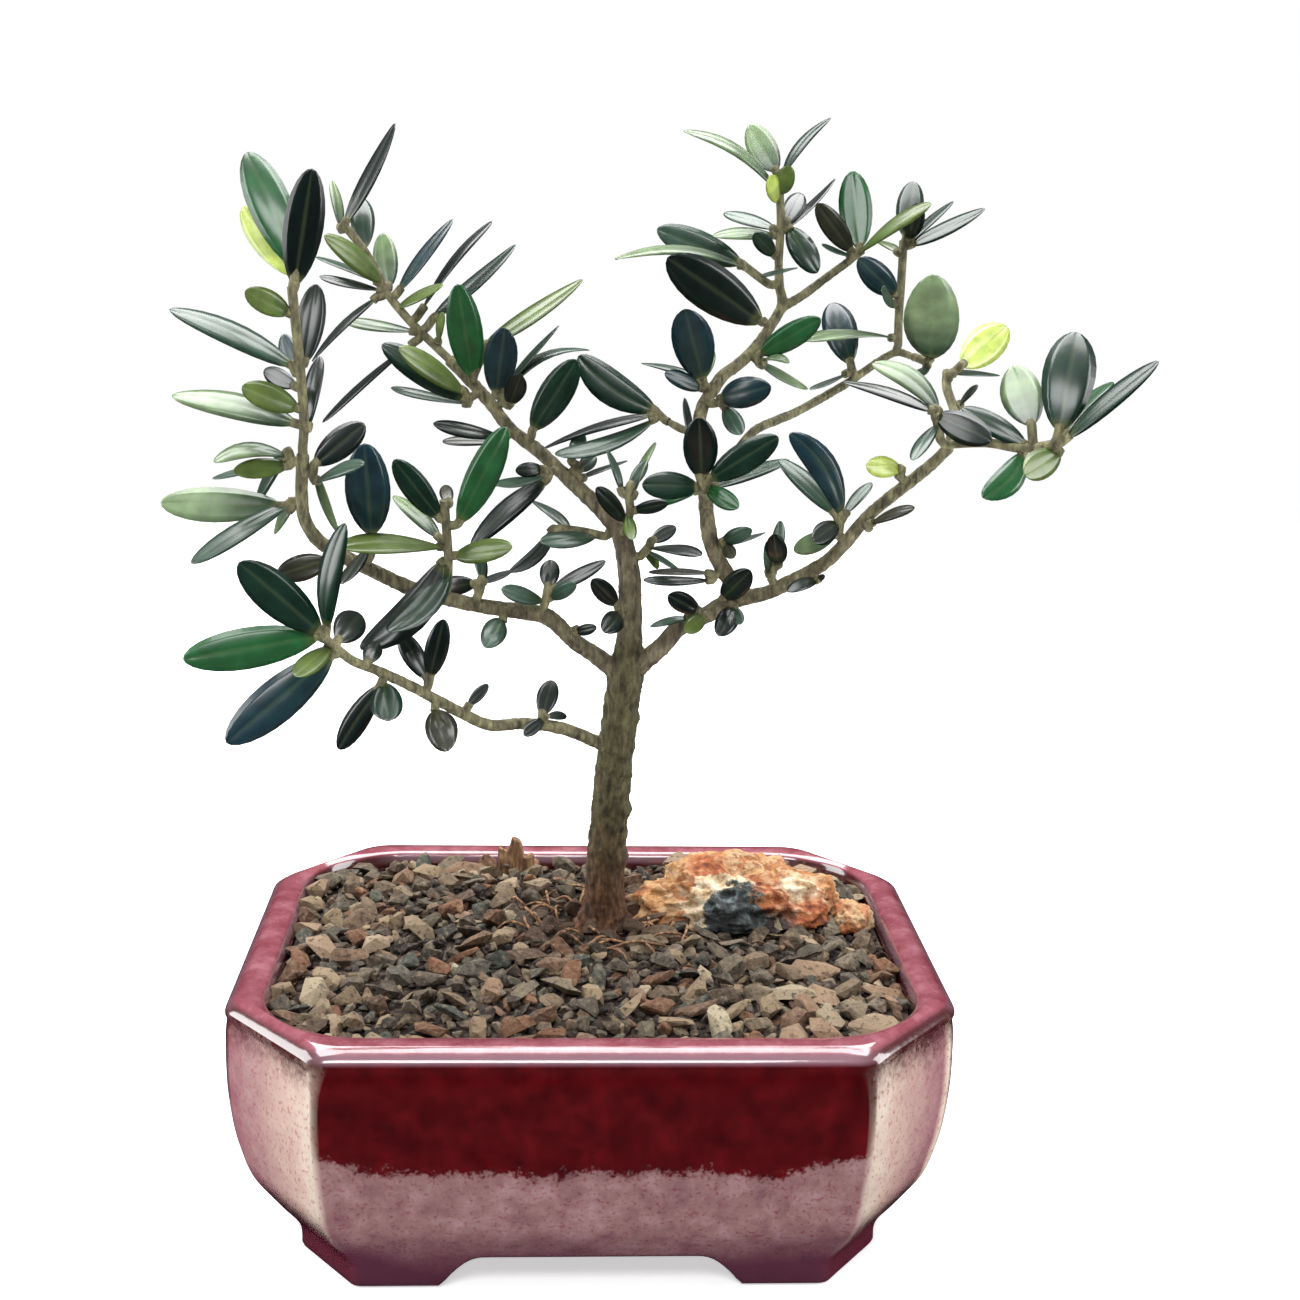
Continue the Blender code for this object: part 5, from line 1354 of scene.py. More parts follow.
leaf_shapes = new_group("leaf_shapes")
for number in range(len(LEAF_SHAPES)):
    print("leaf", number, "triangles:", triangles(leaf_prototype(number, leaf_shapes)))


# %% [markdown]
# The tree below grows a shoot. The object it sits on is a handful of loose points, one for each leaf,
# which carry the leaf's turn, size, tone, swing (how far its middle bends aside) and which of the three
# shapes it takes. The twig and the leaf stalks are splines with a radius, swept into tubes.

# %% The shoot tree
def shoot_tree():
    tree = new_tree("leafy shoot", [
        ("Leaves", "NodeSocketCollection"), ("Twig", "NodeSocketObject"), ("Twig Sides", "NodeSocketInt"),
        ("Leaf Finish", "NodeSocketMaterial"), ("Twig Finish", "NodeSocketMaterial"),
    ])
    given = add(tree, "NodeGroupInput").outputs
    turn, size, swing, kind, share = [
        add(tree, "GeometryNodeInputNamedAttribute", {"Name": name}, data_type=sort).outputs[0]
        for name, sort in (("turn", "FLOAT_VECTOR"), ("size", "FLOAT_VECTOR"), ("swing", "FLOAT_VECTOR"),
                           ("kind", "INT"), ("share", "FLOAT"))]
    turn = add(tree, "FunctionNodeEulerToRotation", {0: turn})
    shapes = add(tree, "GeometryNodeCollectionInfo", {
        "Collection": given["Leaves"], "Separate Children": True, "Reset Children": True})
    leaves = add(tree, "GeometryNodeInstanceOnPoints", {
        "Points": given["Geometry"], "Instance": shapes, "Pick Instance": True, "Instance Index": kind,
        "Rotation": turn, "Scale": size})
    real = add(tree, "GeometryNodeRealizeInstances", {0: leaves})
    rest = add(tree, "ShaderNodeMath", {0: 1.0, 1: share}, operation="SUBTRACT")
    bow = add(tree, "ShaderNodeMath", {0: share, 1: rest}, operation="MULTIPLY")
    bow = add(tree, "ShaderNodeMath", {0: bow, 1: 4.0}, operation="MULTIPLY")
    aside = add(tree, "ShaderNodeVectorMath", {0: swing, "Scale": bow}, operation="SCALE")
    bent = add(tree, "GeometryNodeSetPosition", {"Geometry": real, "Offset": aside})
    blades = add(tree, "GeometryNodeSetMaterial", {"Geometry": bent, "Material": given["Leaf Finish"]})

    route = add(tree, "GeometryNodeObjectInfo", {"Object": given["Twig"]}).outputs["Geometry"]
    circle = add(tree, "GeometryNodeCurvePrimitiveCircle", {"Resolution": given["Twig Sides"], "Radius": MM})
    tube = add(tree, "GeometryNodeCurveToMesh", {"Curve": route, "Profile Curve": circle, "Fill Caps": True})
    tube = add(tree, "GeometryNodeSetShadeSmooth", {"Geometry": tube})
    tube = add(tree, "GeometryNodeSetMaterial", {"Geometry": tube, "Material": given["Twig Finish"]})
    whole = add(tree, "GeometryNodeJoinGeometry")
    for part in (tube, blades):
        fill(whole, {0: part})
    add(tree, "NodeGroupOutput", {"Geometry": whole})
    return tree


# %% [markdown]
# Each leaf takes one of nine tones. The pale, grey and blue tones are partly the leaf's own grey-green and
# partly a painted reflection of the bright room on the wax, and they turn dark green towards the stalk, so that
# painted reflection lies towards the tip. The midrib and the stalk end are a little lighter, the underside is
# paler, greyer and more matt, as if with fine felt hairs. A thin waxy coat, worn to a soft shine, catches the
# soft boxes.

# %% Waxy olive leaf
# Leaf tones; pale, grey and blue are partly painted reflection of the bright room
TONES = {
    "dark": "#051512", "deep": "#08281c", "blue": "#0c2a33", "green": "#174d26", "olive": "#54662c",
    "lime": "#a6b754", "pale": "#70865f", "grey": "#344b3e", "brown": "#26261a",
}
# How far these tones give way to dark green towards the stalk; on the pale, grey and blue tones it keeps their
# painted reflection towards the tip
FADES = {"pale": 0.95, "grey": 0.7, "blue": 0.35, "olive": 0.35}


def waxy_leaf():
    material, tree, shader, place = new_material("waxy olive leaf")
    colour = add(tree, "ShaderNodeAttribute", attribute_name="tone").outputs["Color"]
    share, across, under, fade = [add(tree, "ShaderNodeAttribute", attribute_name=name).outputs["Fac"]
                                  for name in ("share", "across", "under", "fade")]
    mottle, vein = [add(tree, "ShaderNodeTexNoise", {"Vector": place, "Scale": per_mm(size), "Detail": detail})
                    for size, detail in ((4, 3.0), (2.4, 0.0))]
    # Painted reflection: the pale, grey and blue tones, and the olive tone, turn dark green towards the stalk
    # by their fade, so the painted reflection stays towards the tip
    colour = lay_over(tree, colour, "#0e2c1d", share, 0.75, 0.1, fade)
    bright = add(tree, "ShaderNodeMapRange", {
        "Value": mottle, "From Min": 0.3, "From Max": 0.7, "To Min": 0.75, "To Max": 1.3})
    colour = add(tree, "ShaderNodeVectorMath", {0: colour, "Scale": bright}, operation="SCALE")
    aside = add(tree, "ShaderNodeMath", {0: across}, operation="ABSOLUTE")
    colour = lay_over(tree, colour, "#8c9b5e", aside, 0.16, 0.02, 0.07)
    colour = lay_over(tree, colour, "#838c48", share, 0.12, 0.0, 0.45)
    colour = lay_over(tree, colour, "#7f8d78", under, 0.0, 1.0, 0.4)
    gloss = add(tree, "ShaderNodeMapRange", {"Value": under, "To Min": 0.36, "To Max": 0.62})
    bump = add(tree, "ShaderNodeBump", {"Height": vein, "Strength": 0.15, "Distance": 0.3 * MM})
    fill(shader, {"Base Color": colour, "Roughness": gloss, "IOR": 1.45, "Coat Weight": 0.6,
                  "Coat Roughness": 0.2, "Normal": bump})
    return material


# %% [markdown]
# Last come the shoots themselves, fifty-three of them, as they were read from the tree: a name, the
# twig's radius and points, and one line for each leaf. The tree gives each of them its own piece, in
# place of the CAD shoot of that name.

# %% The shoots and their leaves
SHOOTS = [
    # name, twig radius, twig as (x, z, depth), and leaves as
    # (base x, base z, tip x, tip z, seen width, lean of the tip away from the eye, tone, swing)
    ("left_upright_shoot", 0.8, [(-64.4, 170.5, -26.3), (-64, 176, -27), (-64.5, 186, -29),
                                 (-65.4, 197, -31), (-66, 204, -32)], [
        (-65.5, 205, -61.3, 229.6, 7.8, -4, "dark"),
        (-65, 209, -75, 233.2, 8.6, 10, "green"),
        (-65.5, 207, -75.8, 221, 6.6, 14, "lime"),
        (-66.5, 199.2, -76, 203.8, 5, -7, "olive"),
        (-66, 188, -91.8, 200.4, 5, -5, "grey"),
        (-65.6, 186.5, -68, 194.5, 4, 8, "blue"),
        (-65.5, 183.5, -72.5, 187, 4, 9, "dark"),
        (-65.5, 175.5, -92.3, 182.2, 5.6, 4, "pale"),
        (-65, 178.8, -77.6, 183.6, 5.6, -12, "olive"),
        (-63.8, 188.5, -60.8, 205.6, 5.8, 6, "dark"),
        (-63.2, 174.5, -60.8, 190.5, 3.6, 8, "dark"),
    ]),
    ("left_side_shoot", 0.7, [(-66.6, 167.4, -25)], [
        (-67.6, 168.4, -83.6, 167.4, 3.2, -10, "pale", -1.5),
        (-67.4, 166.4, -79.6, 165, 4.2, -4, "olive"),
        (-67.2, 167, -84.2, 163.4, 1.6, 4, "grey"),
        (-67.6, 169.6, -76.6, 155.6, 2.8, 14, "grey"),
    ]),
    ("left_low_shoot", 0.7, [(-66.8, 158.4, -23.5)], [
        (-69, 157.4, -95.2, 157.4, 7.4, 6, "pale"),
        (-67.2, 158.4, -89.4, 144.4, 4, -8, "grey"),
        (-67, 157, -71.5, 151.6, 2.4, 9, "pale"),
    ]),
    ("left_inner_shoot", 0.7, [(-62.6, 164.6, -25.5)], [
        (-62, 166.6, -50.9, 175.8, 6.2, 6, "dark"),
        (-61.8, 163, -51.6, 167.4, 2.4, -12, "grey"),
        (-62, 164.4, -57.5, 152, 2, 16, "pale"),
    ]),
    ("left_blue_shoot", 0.7, [(-50, 146.4, -18.5), (-49.8, 149.6, -20)], [
        (-49.7, 151, -51, 170.8, 9.4, -9, "blue"),
        (-50.6, 148.6, -56, 139.6, 3, -15, "dark"),
    ]),
    ("centre_left_shoot", 1.2, [(-33, 140, -13), (-32.8, 147, -16), (-33.2, 153, -18),
                                (-33.6, 158, -19)], [
        (-30.6, 154, -19.6, 175.6, 7, -7, "green"),
        (-34.6, 155, -44.6, 168, 5.8, -3, "deep"),
        (-34.6, 150.6, -44.6, 160.6, 3.6, 9, "pale"),
        (-34, 148.8, -56.6, 147.6, 4.4, -17, "olive", -1),
        (-31.6, 146.8, -18.6, 148.8, 5, -13, "olive"),
        (-34, 145.6, -52.4, 125.6, 7.6, -12, "dark", 3),
        (-33, 144, -46, 128.6, 6, -20, "deep", 1.5),
        (-32.6, 158.4, -33.6, 162.6, 3, 8, "brown"),
    ]),
    ("left_under_leaf", 0.7, [(-58.6, 146, -22.5)], [
        (-59.2, 145.4, -70.6, 142, 5.6, -8, "brown"),
    ]),
    ("low_rosette_shoot", 0.75, [(-48.9, 120.5, -34.3), (-54, 122.5, -38), (-57.3, 125, -41),
                                 (-60.2, 127.6, -43)], [
        (-61.4, 128.2, -91.9, 122.6, 8.4, -5, "green"),
        (-61, 129, -79.2, 144.9, 8.4, -8, "deep"),
        (-60, 129.4, -55.4, 153.8, 4.8, -3, "deep", 1),
        (-58.6, 124, -82.7, 103.3, 8.8, -10, "blue"),
        (-59.2, 126, -67.2, 118.4, 4.4, -15, "olive"),
        (-57.6, 127, -52.4, 133.6, 6.6, 12, "dark"),
        (-51.2, 121.8, -48.4, 127.4, 4, 7, "dark"),
    ]),
    ("low_hanging_shoot", 0.7, [(-47.6, 118, -33.5)], [
        (-47.2, 117.6, -46.4, 108, 6.8, -12, "deep"),
        (-48, 117, -57.8, 102, 5.2, 5, "dark"),
    ]),
    ("low_upper_shoot", 0.7, [(-37.4, 117, -25.5)], [
        (-37.4, 118.4, -43.6, 129.2, 4.8, 5, "dark"),
        (-37, 118.8, -33.9, 132, 5, -5, "dark"),
    ]),
    ("low_round_leaf", 0.7, [(-35.8, 112, -25.6)], [
        (-35.6, 111.6, -33.2, 102.4, 6.8, -12, "brown"),
    ]),
    ("low_tiny_leaf", 0.6, [(-28.4, 112.2, -19.8)], [
        (-28.4, 112.4, -24, 117.4, 2.6, 5, "dark"),
    ]),
    ("low_near_shoot", 0.65, [(-11, 109.8, -8)], [
        (-11.8, 110.2, -9.4, 118.6, 4.8, 7, "dark"),
        (-10.6, 109.8, -5.9, 110.6, 2.2, 7, "dark"),
        (-11.2, 109.6, -16, 105.4, 3, -7, "dark"),
    ]),
    ("limb_hanging_leaf", 0.6, [(-20.6, 132.4, -9.6)], [
        (-20.8, 132.6, -24.2, 126.4, 5.4, -9, "grey"),
    ]),
    ("limb_upper_shoot", 0.65, [(-11.2, 136.4, -8), (-10.8, 138.8, -9)], [
        (-11.6, 136.8, -21.4, 139.2, 3.8, -9, "grey"),
        (-10.6, 139.6, -10, 146.2, 4.5, 8, "dark"),
        (-10.4, 137.4, -4.6, 140.6, 3.4, -7, "grey"),
        (-9.6, 139.4, 2.2, 145.8, 3.2, 5, "dark"),
    ]),
    ("limb_tiny_leaf", 0.6, [(-4.8, 130, -4.6)], [
        (-4.6, 129.6, 0.4, 130.9, 2.6, -5, "dark"),
    ]),
    ("limb_dark_shoot", 0.65, [(-26, 138.4, -10.8)], [
        (-26.4, 140.6, -35.4, 139.6, 4.4, 6, "dark"),
        (-25.6, 140.6, -18.8, 143.4, 1.8, 9, "dark"),
        (-25.4, 141, -26.4, 150, 3.2, 16, "grey"),
    ]),
    ("leader_left_shoot", 0.65, [(2, 151.6, 3), (-3, 152.6, 4), (-8, 153.2, 5)], [
        (0, 151.8, -12.6, 149.6, 4, -12, "grey"),
        (-9.6, 153.2, -19.2, 143.2, 3.4, -6, "dark", 1.6),
        (-6, 153, -14, 160, 2.6, 14, "grey"),
    ]),
    ("leader_front_leaves", 0.6, [(5.4, 135, -4.6)], [
        (5, 136, -0.8, 141.8, 4.4, -8, "dark"),
        (5.8, 134, 2.4, 130.2, 5, -10, "dark"),
    ]),
    ("limb_front_shoot", 0.65, [(-10.6, 165.6, 5.6)], [
        (-11, 164.2, -28.2, 149.4, 5, -6, "dark"),
        (-11.6, 165, -22.4, 162, 2.6, -14, "grey"),
        (-11.8, 166.4, -18, 166, 3.4, -5, "dark"),
    ]),
    ("limb_brown_shoot", 0.65, [(-20.4, 173, 10.6)], [
        (-21.2, 173.4, -36.2, 175.6, 3.4, -5, "dark"),
        (-21, 172.2, -34, 172.4, 2.6, 8, "brown"),
    ]),
    ("limb_olive_shoot", 0.7, [(-28.2, 181.6, 11.5)], [
        (-29.2, 183.2, -43.4, 192.2, 5, -13, "olive"),
        (-28.8, 181.4, -46.8, 193, 6.6, -5, "deep"),
        (-28.4, 180.4, -45.2, 183.2, 2, 4, "grey"),
    ]),
    ("limb_tall_shoot", 0.7, [(-27, 187, 12), (-26, 189.4, 11.5)], [
        (-27.4, 185.8, -30.6, 205.6, 7.8, -12, "green"),
        (-25, 193, -3.4, 207, 3.8, 4, "olive"),
    ]),
    ("limb_grey_shoot", 0.7, [(-20.8, 181.4, 11.5), (-20.4, 183.4, 11)], [
        (-22.4, 182.6, -20.4, 197.4, 7.4, -8, "blue"),
        (-20.6, 183.8, -8.8, 197.8, 1.5, 6, "grey"),
        (-20, 183.4, -2.4, 193.4, 2.2, 12, "grey", 2.4),
        (-19.4, 180.2, -16.8, 187.4, 4.8, -9, "dark"),
    ]),
    ("limb_dark_leaf", 0.65, [(-14.6, 173.6, 9)], [
        (-14.4, 174.8, -4.8, 190.4, 7.4, -9, "deep"),
    ]),
    ("limb_small_shoot", 0.65, [(-5.4, 166, 7.4), (-4.6, 167.4, 8)], [
        (-5.8, 168.4, -3.2, 175, 3.6, 7, "grey"),
        (-4.2, 166.2, -0.6, 169.2, 3.4, 9, "grey"),
        (-3.6, 164.4, 6.4, 168.6, 1.3, 13, "grey"),
    ]),
    ("upper_left_shoot", 0.95, [(-32.9, 190.5, 17.4), (-37.5, 194.7, 18.5), (-41.5, 198.7, 19.5),
                                (-45.5, 203.6, 20.5), (-47.6, 208, 21.5), (-51, 213.4, 23),
                                (-54.4, 217.6, 24)], [
        (-39.8, 195.8, -55.2, 197.6, 2.6, 8, "pale"),
        (-40, 193.6, -60.2, 176, 1.8, 5, "dark"),
        (-48, 203, -62.6, 189.6, 1.8, -6, "dark"),
        (-46.8, 204.4, -60.2, 206.8, 2, 3, "dark"),
        (-47.4, 206, -60.6, 211.4, 1.6, 12, "grey"),
        (-46.8, 206.4, -58.5, 215.8, 4.8, -13, "olive"),
        (-54.6, 218.4, -43.2, 238.9, 3.4, 5, "dark"),
        (-55.4, 217, -57, 227.2, 2.6, 9, "pale"),
        (-50.4, 213.2, -51.2, 224.4, 5.6, 10, "grey"),
        (-45.4, 205, -46.6, 216.2, 5.6, 10, "pale"),
        (-43.4, 204.2, -31.8, 219.8, 3, 8, "blue"),
        (-38.4, 200.4, -24.2, 220.2, 2.2, 12, "dark"),
        (-36, 198.6, -18, 214, 3.2, 16, "deep"),
        (-43.6, 201, -33.8, 205.8, 2.4, -8, "olive"),
        (-35, 193.4, -34, 199.8, 1.8, -9, "olive"),
    ]),
    ("centre_tuft", 0.65, [(6, 152.4, -0.6), (7.4, 157, -3), (7, 161, -4)], [
        (6.6, 155, -0.2, 162.4, 4, -9, "dark"),
        (5.6, 161.4, 2.4, 171.2, 1.8, 3, "grey"),
        (7.2, 162.6, 10.8, 168.4, 2.8, 6, "grey"),
        (8, 157.4, 15.8, 159.2, 3, -6, "dark"),
        (8, 160.6, 12, 173, 2, 12, "pale"),
        (6.8, 156.6, 8, 150.6, 3, -9, "olive"),
    ]),
    ("leader_right_shoot", 0.6, [(9.8, 147.2, -0.6), (11.8, 149.4, -1)], [
        (12, 149.2, 23.4, 148.2, 2.2, -14, "dark"),
        (12.2, 150.6, 17.4, 153.8, 3.4, 9, "dark"),
        (11.4, 148.2, 19.6, 143.6, 1.4, 7, "grey"),
        (10.6, 148, 14.6, 145, 2.6, 9, "olive"),
    ]),
    ("riser_left_leaves", 0.6, [(26.6, 143, -8.4)], [
        (26, 142, 10.6, 141.2, 2.2, -5, "dark"),
        (25.8, 143.4, 11.8, 143.8, 1.6, 9, "brown"),
    ]),
    ("right_small_shoot", 0.6, [(39.4, 142.4, -8.8), (40, 145.2, -9.6)], [
        (38.8, 143.4, 38, 150.8, 2, -7, "grey"),
        (41, 145.6, 39.6, 152, 4.8, -9, "dark"),
        (40.2, 146.4, 41, 155.4, 3, 9, "grey"),
    ]),
    ("right_under_leaf", 0.6, [(49, 142.8, -12.6)], [
        (49.8, 142.6, 43.4, 139.8, 2.8, -9, "dark"),
        (49.6, 142.2, 51.6, 143.4, 1.4, -4, "dark"),
    ]),
    ("fork_front_leaves", 0.6, [(22.8, 134.2, -6.6)], [
        (23.6, 134.8, 16, 138.6, 4.5, -6, "dark"),
        (24.6, 134, 20.4, 130, 4, -9, "olive"),
        (21.4, 133.4, 12.4, 131.4, 1.8, -3, "grey"),
    ]),
    ("fork_dark_leaves", 0.6, [(29.4, 137.4, -8.6)], [
        (28.4, 137.6, 34.7, 144.2, 5.6, -8, "dark"),
        (31.4, 135.8, 28.2, 129.6, 5, -9, "dark"),
        (30.6, 136, 33, 131.6, 3.2, -6, "grey"),
    ]),
    ("riser_grey_leaf", 0.6, [(27.6, 150.4, -7.6)], [
        (28, 150.8, 34.4, 153.4, 3.4, -7, "grey"),
        (28, 149.8, 37.8, 152.6, 1.2, 5, "grey"),
        (28.6, 150.2, 30.8, 147, 3, -9, "brown"),
    ]),
    ("front_rosette_shoot", 0.7, [(24.2, 159, -7.2), (23.6, 161.6, -10), (23.6, 163.4, -13)], [
        (22.6, 163, 9.6, 163.3, 6, -7, "deep"),
        (23.2, 164.8, 22.2, 178.2, 7.4, -9, "dark"),
        (24.8, 164.6, 39.6, 174.2, 6.6, -6, "deep"),
        (24, 162.8, 31.8, 158.2, 4.2, -9, "green"),
        (25.6, 162.8, 42.4, 169.4, 3.2, 7, "grey"),
        (22.4, 162.2, 12.8, 159.2, 3, 10, "green"),
        (22.6, 165.6, 18.4, 182.4, 1.6, 7, "dark"),
    ]),
    ("little_twig_shoot", 0.6, [(15.1, 177.4, 9.3), (13, 179.2, 10)], [
        (12.6, 179.6, -4.6, 191.2, 7.8, 6, "deep", 1.5),
        (12.2, 178.8, -13.2, 171.4, 2, 8, "dark"),
        (12.4, 177.8, -9.2, 169, 3.8, -5, "grey", 1.5),
    ]),
    ("riser_right_shoot", 0.65, [(25.2, 181.4, 7.6), (27, 181.8, 6)], [
        (26.6, 182.6, 37.2, 185.2, 6.8, -12, "blue"),
        (27.6, 180.8, 31.8, 174.4, 4.4, -8, "grey"),
    ]),
    ("riser_left_shoot", 0.65, [(23.2, 185.4, 10.2)], [
        (22.8, 186.4, 18.3, 202.4, 9.2, -14, "blue"),
        (22.8, 184.6, 14.4, 187.8, 3.8, -9, "blue"),
        (22.2, 186.6, 9.3, 190.5, 1.8, 9, "grey"),
        (22.6, 186.4, 24.6, 192.6, 3, 12, "olive"),
    ]),
    ("limb_right_shoot", 0.65, [(34.8, 190.8, 14.4)], [
        (35, 192.2, 48.2, 200.2, 5.8, -10, "green"),
        (35.4, 190.6, 41.6, 190.8, 1.6, -6, "pale", 1),
        (35.2, 190.2, 45.6, 184.8, 2.2, 9, "pale"),
    ]),
    ("round_leaf_shoot", 0.6, [(55.6, 189.2, 23.6)], [
        (55.2, 190.6, 50.3, 204.2, 8, 9, "blue"),
        (54.6, 188.6, 46.6, 184.4, 1.4, -8, "grey"),
    ]),
    ("big_dark_leaf", 0.7, [(36, 199.2, 17)], [
        (35.4, 199.2, 14, 212.8, 10.6, -9, "dark"),
    ]),
    ("crossing_shoot", 0.6, [(36.6, 207.4, 20), (33.6, 209.4, 18.5), (31.4, 211, 17.5)], [
        (30.6, 211.6, 12, 218.6, 7, 6, "grey"),
        (30.8, 211.2, 3.2, 213.2, 2.2, -7, "pale", -1.6),
        (34.4, 209.2, 42.8, 210.6, 1.2, -9, "grey"),
    ]),
    ("top_shoot", 0.75, [(38.6, 211.8, 22.2), (38.7, 220.5, 24), (38.3, 226, 26), (38.1, 229, 26.6)], [
        (37.4, 227.6, 17.8, 239.8, 2.6, -7, "pale", -1.6),
        (37.4, 231, 31.4, 240.2, 6.8, 9, "pale"),
        (38.8, 230.6, 48.6, 242.6, 2.4, 4, "deep", 1),
        (38.2, 226.4, 40, 232, 4.6, -9, "olive"),
        (38, 224.8, 35.6, 230.4, 3.6, -12, "lime"),
        (39.8, 220.4, 43, 226.8, 5, 11, "dark"),
        (40.4, 219.6, 46.8, 210.4, 6, -10, "deep"),
        (39.8, 219, 50.2, 229.2, 1.6, 15, "dark"),
        (37.6, 219, 26.4, 222.4, 3, 12, "grey"),
        (37.6, 217.8, 24.4, 217.8, 2.8, -9, "pale"),
        (37.8, 213.4, 32.8, 218.4, 4, -10, "deep"),
    ]),
    ("crown_right_shoot", 0.7, [(53.4, 212.3, 28.3), (55.2, 213.9, 29.4)], [
        (56, 215.2, 53.7, 231.3, 7.8, 8, "green"),
        (54.4, 214.6, 46.4, 224.6, 5.4, -9, "brown"),
        (55.8, 214.4, 70.6, 225.6, 3, -12, "olive"),
        (54.4, 213.8, 47.6, 215.6, 1.4, -7, "grey"),
    ]),
    ("upright_twig_shoot", 0.85, [(65.4, 194.6, 27.2), (65.3, 200, 28), (65.4, 206, 29),
                                  (65.5, 212, 30), (65.5, 216.4, 31)], [
        (66, 217.6, 67, 229.8, 6.4, 10, "deep"),
        (66.4, 217.4, 68.4, 224.8, 5, -8, "dark"),
        (66.8, 216.2, 83.2, 223.9, 3.4, -6, "deep"),
        (66.8, 217, 75.7, 225.8, 2.2, 9, "deep"),
        (64.4, 205.6, 56.2, 212.8, 6.4, -10, "blue"),
        (64.4, 203.6, 60.8, 206.6, 3, -13, "grey"),
        (64.4, 196.4, 44.4, 195.4, 2.2, -16, "pale", -1),
        (64.6, 214.6, 59.6, 217.6, 2, 12, "olive"),
    ]),
    ("big_round_leaf_shoot", 0.6, [(69.4, 192.2, 22.6), (72, 191.2, 20)], [
        (72.8, 191.8, 72.2, 208.8, 12.4, -10, "pale"),
        (72.2, 190.4, 69.6, 187.6, 2.4, -9, "grey"),
    ]),
    ("lime_leaf_shoot", 0.8, [(78.2, 175, -22), (78.8, 180, -19), (76.8, 185.5, -14),
                              (76.6, 188.6, -11)], [
        (79.6, 190.6, 88.7, 198.9, 8.2, 9, "lime"),
        (77.4, 188.8, 88, 188.8, 1.4, 12, "grey"),
        (79.4, 181.6, 83.4, 186.4, 1.4, -6, "dark"),
    ]),
    ("right_dark_shoot", 0.65, [(76, 174.2, -25), (75, 178.4, -27)], [
        (74.6, 179.6, 87.4, 174.2, 6.4, -12, "dark"),
        (74.2, 180.4, 53.8, 187.4, 2.6, 6, "dark"),
        (75.2, 180.6, 60, 190.4, 4.6, 12, "pale", -2),
        (74.8, 177.6, 70, 169.6, 3, -10, "grey"),
    ]),
    ("right_rosette_shoot", 0.65, [(78.5, 173, -24.3), (86.5, 173.7, -28), (94.5, 172.6, -33),
                                   (101.5, 173.6, -37)], [
        (102.4, 176.6, 104.9, 199, 10.8, 5, "deep"),
        (96.2, 177.6, 91.2, 190, 8.6, 13, "pale"),
        (104, 174.8, 123.6, 192.4, 4, -5, "deep"),
        (103.4, 175.6, 112.9, 188.4, 3.4, 14, "green"),
        (103, 172, 94.7, 166.4, 6.2, -9, "olive"),
        (94.8, 171.6, 86.2, 161.4, 6, -8, "green", 1.4),
        (95.4, 173.2, 80.3, 181.7, 4.6, 8, "deep"),
    ]),
    ("right_lime_leaf", 0.65, [(67.2, 166, -20.4)], [
        (67.6, 167.6, 59.2, 168.4, 4.6, -8, "lime"),
    ]),
    ("right_inner_shoot", 0.7, [(54.2, 152.4, -15.2), (54.4, 155.6, -16)], [
        (54.8, 157, 42.4, 175.2, 6.2, -5, "blue", -2),
        (53.4, 157.2, 40.4, 169.8, 4.4, 7, "grey"),
        (54, 155.4, 48.2, 150.8, 4.8, -9, "dark"),
        (53.6, 152.8, 44.2, 148.8, 4.4, 9, "pale"),
        (55.2, 157, 60.9, 164.8, 2.6, 6, "grey"),
    ]),
    ("right_outer_leaf", 0.6, [(60.6, 154.6, -17.2)], [
        (61, 155.2, 70.7, 159.2, 2.3, -8, "brown"),
    ]),
]


# %% Where each leaf sits and how it faces
SLIMMEST_LEAF = 0.3
BROADEST_LEAF = 0.44
LEAST_SPUR = 0.7
BARK_GAP = 0.3
STALK_FROM = 0.5
STALK_RADII = [0.5, 0.38, 0.36, 0.12]
TWIG_SLIMNESS = 0.92
SPUR_SLIMNESS = 0.66
TWIG_END = 0.12
TWIG_TAPER = 0.4
TWIG_PITCH = 0.6
STALK_PITCH = 0.5
STALK_SAG = 0.12


def nearest_on(points, target):
    """The nearest place on a route, as segment number, share along it and place."""
    best = None
    for i in range(len(points) - 1):
        run = points[i + 1] - points[i]
        share = max(0.0, min(1.0, (target - points[i]).dot(run) / run.length_squared))
        place = points[i] + run * share
        if best is None or (place - target).length < (best[2] - target).length:
            best = (i, share, place)
    return best


def spur_start(target):
    """A shoot's way out: a place on the limb's line, one just past its bark, and the twig's first point."""
    best = None
    for limb in LIMBS:
        route = [seen(x, z, depth) for x, z, depth, _ in limb]
        i, share, place = nearest_on(route, target)
        radius = limb[i][3] + (limb[i + 1][3] - limb[i][3]) * share
        away = (target - place).length - radius
        if best is None or away < best[0]:
            best = (away, place, radius, route, i, share)
    _, place, radius, route, i, share = best
    outward_way = (target - place).normalized()
    axis = (route[-1] - route[-2]).normalized()
    at_tip = i == len(route) - 2 and share > 0.98 and outward_way.dot(axis) > 0.6
    way = axis if at_tip else outward_way
    start = place + way * (BARK_GAP if at_tip else radius + BARK_GAP)
    if (target - start).length < LEAST_SPUR or (target - start).dot(way) <= 0.0:
        target = start + way * LEAST_SPUR
    return place, start, target


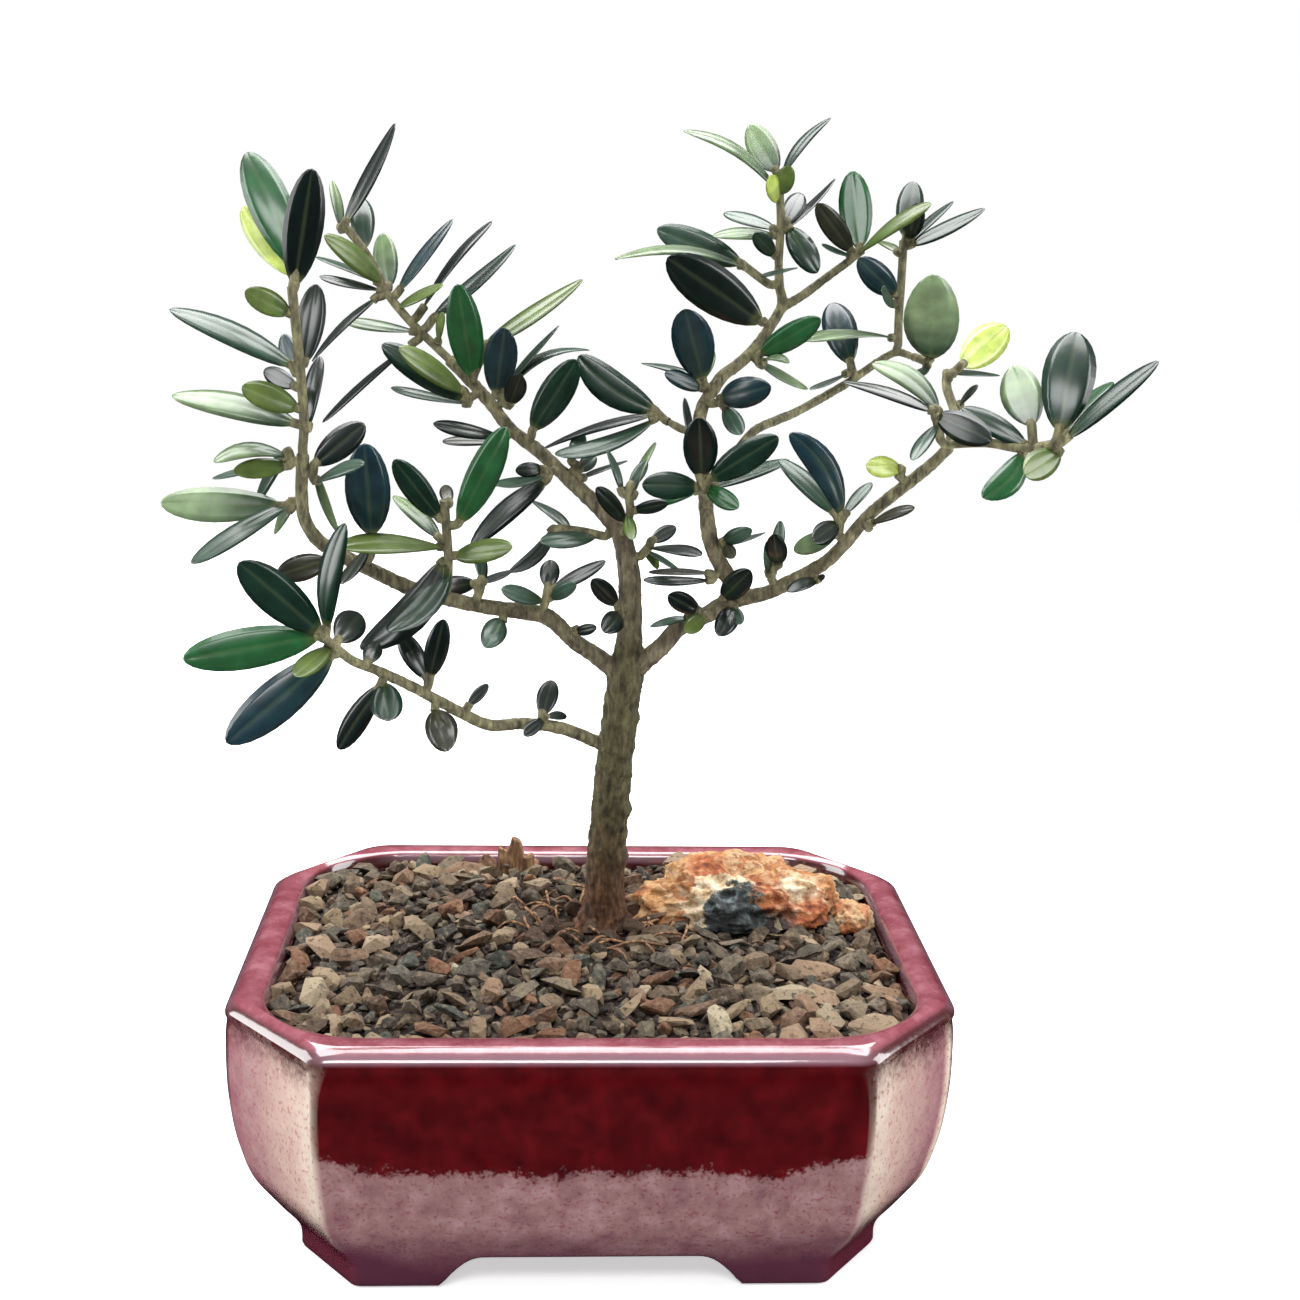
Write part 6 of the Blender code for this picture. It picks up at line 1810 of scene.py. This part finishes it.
def leaf_facing(base, tip, width):
    """Full width, and the across, along and face directions of a leaf that looks as wide as was read."""
    along = (tip - base).normalized()
    length = (tip - base).length
    to_eye = (EYE - (base + tip) / 2).normalized()
    full_width = max(width, SLIMMEST_LEAF * length)
    across = along.cross(to_eye).normalized()
    roll = acos(min(1.0, width / full_width))
    choices = []
    for sign in (1.0, -1.0):
        turned = across * cos(roll) + along.cross(across) * sin(sign * roll)
        face = turned.cross(along)
        if face.dot(to_eye) < 0.0:
            turned, face = -turned, -face
        choices.append((face.z, turned, face))
    _, across, face = max(choices, key=lambda choice: choice[0])
    return full_width, length, across, along, face


def place_leaf(row, twig):
    """One leaf row as its base, turn, size and swing, where its stalk starts, and the way it points."""
    bx, bz, tx, tz, width, lean = row[:6]
    bend = row[7] if len(row) > 7 else 0.0
    near = nearest_on(twig, seen(bx, bz, (twig[0].y + twig[-1].y) / 2))[2]
    base = seen(bx, bz, near.y)
    near = nearest_on(twig, base)[2]
    seen_length = sqrt((tx - bx) ** 2 + (tz - bz) ** 2)
    least = sqrt(max(0.0, (width / BROADEST_LEAF) ** 2 - seen_length ** 2))
    tip = seen(tx, tz, base.y + copysign(max(abs(lean), least), lean))
    full_width, length, across, along, face = leaf_facing(base, tip, width)
    turn = Matrix((across, along, face)).transposed().to_euler()
    swing = along.cross((EYE - base).normalized()).normalized() * -bend
    return base, turn, (full_width, length, full_width), swing, near, along


# %% Grow every shoot
def grow_shoot(spec, number, tree, leaf_finish, twig_finish):
    name, radius, places, leaves = spec
    inside, start, first = spur_start(seen(*places[0]))
    twig = [start, first] + [seen(*place) for place in places[1:]]
    leafy = [start.lerp(first, 0.75)] + twig[1:]
    grown = [inside] + twig + [twig[-1] + (twig[-1] - twig[-2]).normalized() * radius]
    slim = SPUR_SLIMNESS if len(places) == 1 else TWIG_SLIMNESS
    steps = len(grown) - 1
    radii = [radius * slim * (1.0 - TWIG_TAPER * i / (steps - 1)) for i in range(steps)] + [TWIG_END]
    routes = [smooth_route(grown, radii, TWIG_PITCH)]
    bases, turns, sizes, swings = [], [], [], []
    for row in leaves:
        base, turn, size, swing, near, along = place_leaf(row, leafy)
        bases.append(POT_CENTRE + base * MM)
        turns.append(tuple(turn))
        sizes.append(tuple(v * MM for v in size))
        swings.append(tuple(swing * MM))
        if (base - near).length > STALK_FROM:
            sag = near.lerp(base, 0.5) - Vector((0, 0, STALK_SAG * (base - near).length))
            routes.append(smooth_route([near, sag, base, base + along * 1.2], STALK_RADII, STALK_PITCH))
    shoot = mesh_object(f"{name}_grown", bases, [], smooth=False)
    mark(shoot, "FLOAT_VECTOR", turn=turns, size=sizes, swing=swings)
    mark(shoot, "FLOAT_COLOR", tone=[linear(TONES[row[6]]) for row in leaves])
    mark(shoot, "FLOAT", fade=[FADES.get(row[6], 0.0) for row in leaves])
    mark(shoot, "INT", kind=[(number + i) % len(LEAF_SHAPES) for i in range(len(leaves))])
    stems = curve_object(f"{name}_stems", routes)
    use_tree(shoot, tree, {
        "Leaves": leaf_shapes, "Twig": stems, "Twig Sides": 8, "Leaf Finish": leaf_finish,
        "Twig Finish": twig_finish})
    bake(shoot)
    remove(stems)
    stands_for(shoot, name)
    return len(leaves)


leaf_finish = waxy_leaf()
twig_finish = olive_bark("young olive bark", False)
growing = shoot_tree()
leaf_count = 0
for number, spec in enumerate(SHOOTS):
    leaf_count += grow_shoot(spec, number, growing, leaf_finish, twig_finish)
for shape in list(leaf_shapes.objects):
    remove(shape)
print("shoots:", len(SHOOTS), "leaves:", leaf_count)
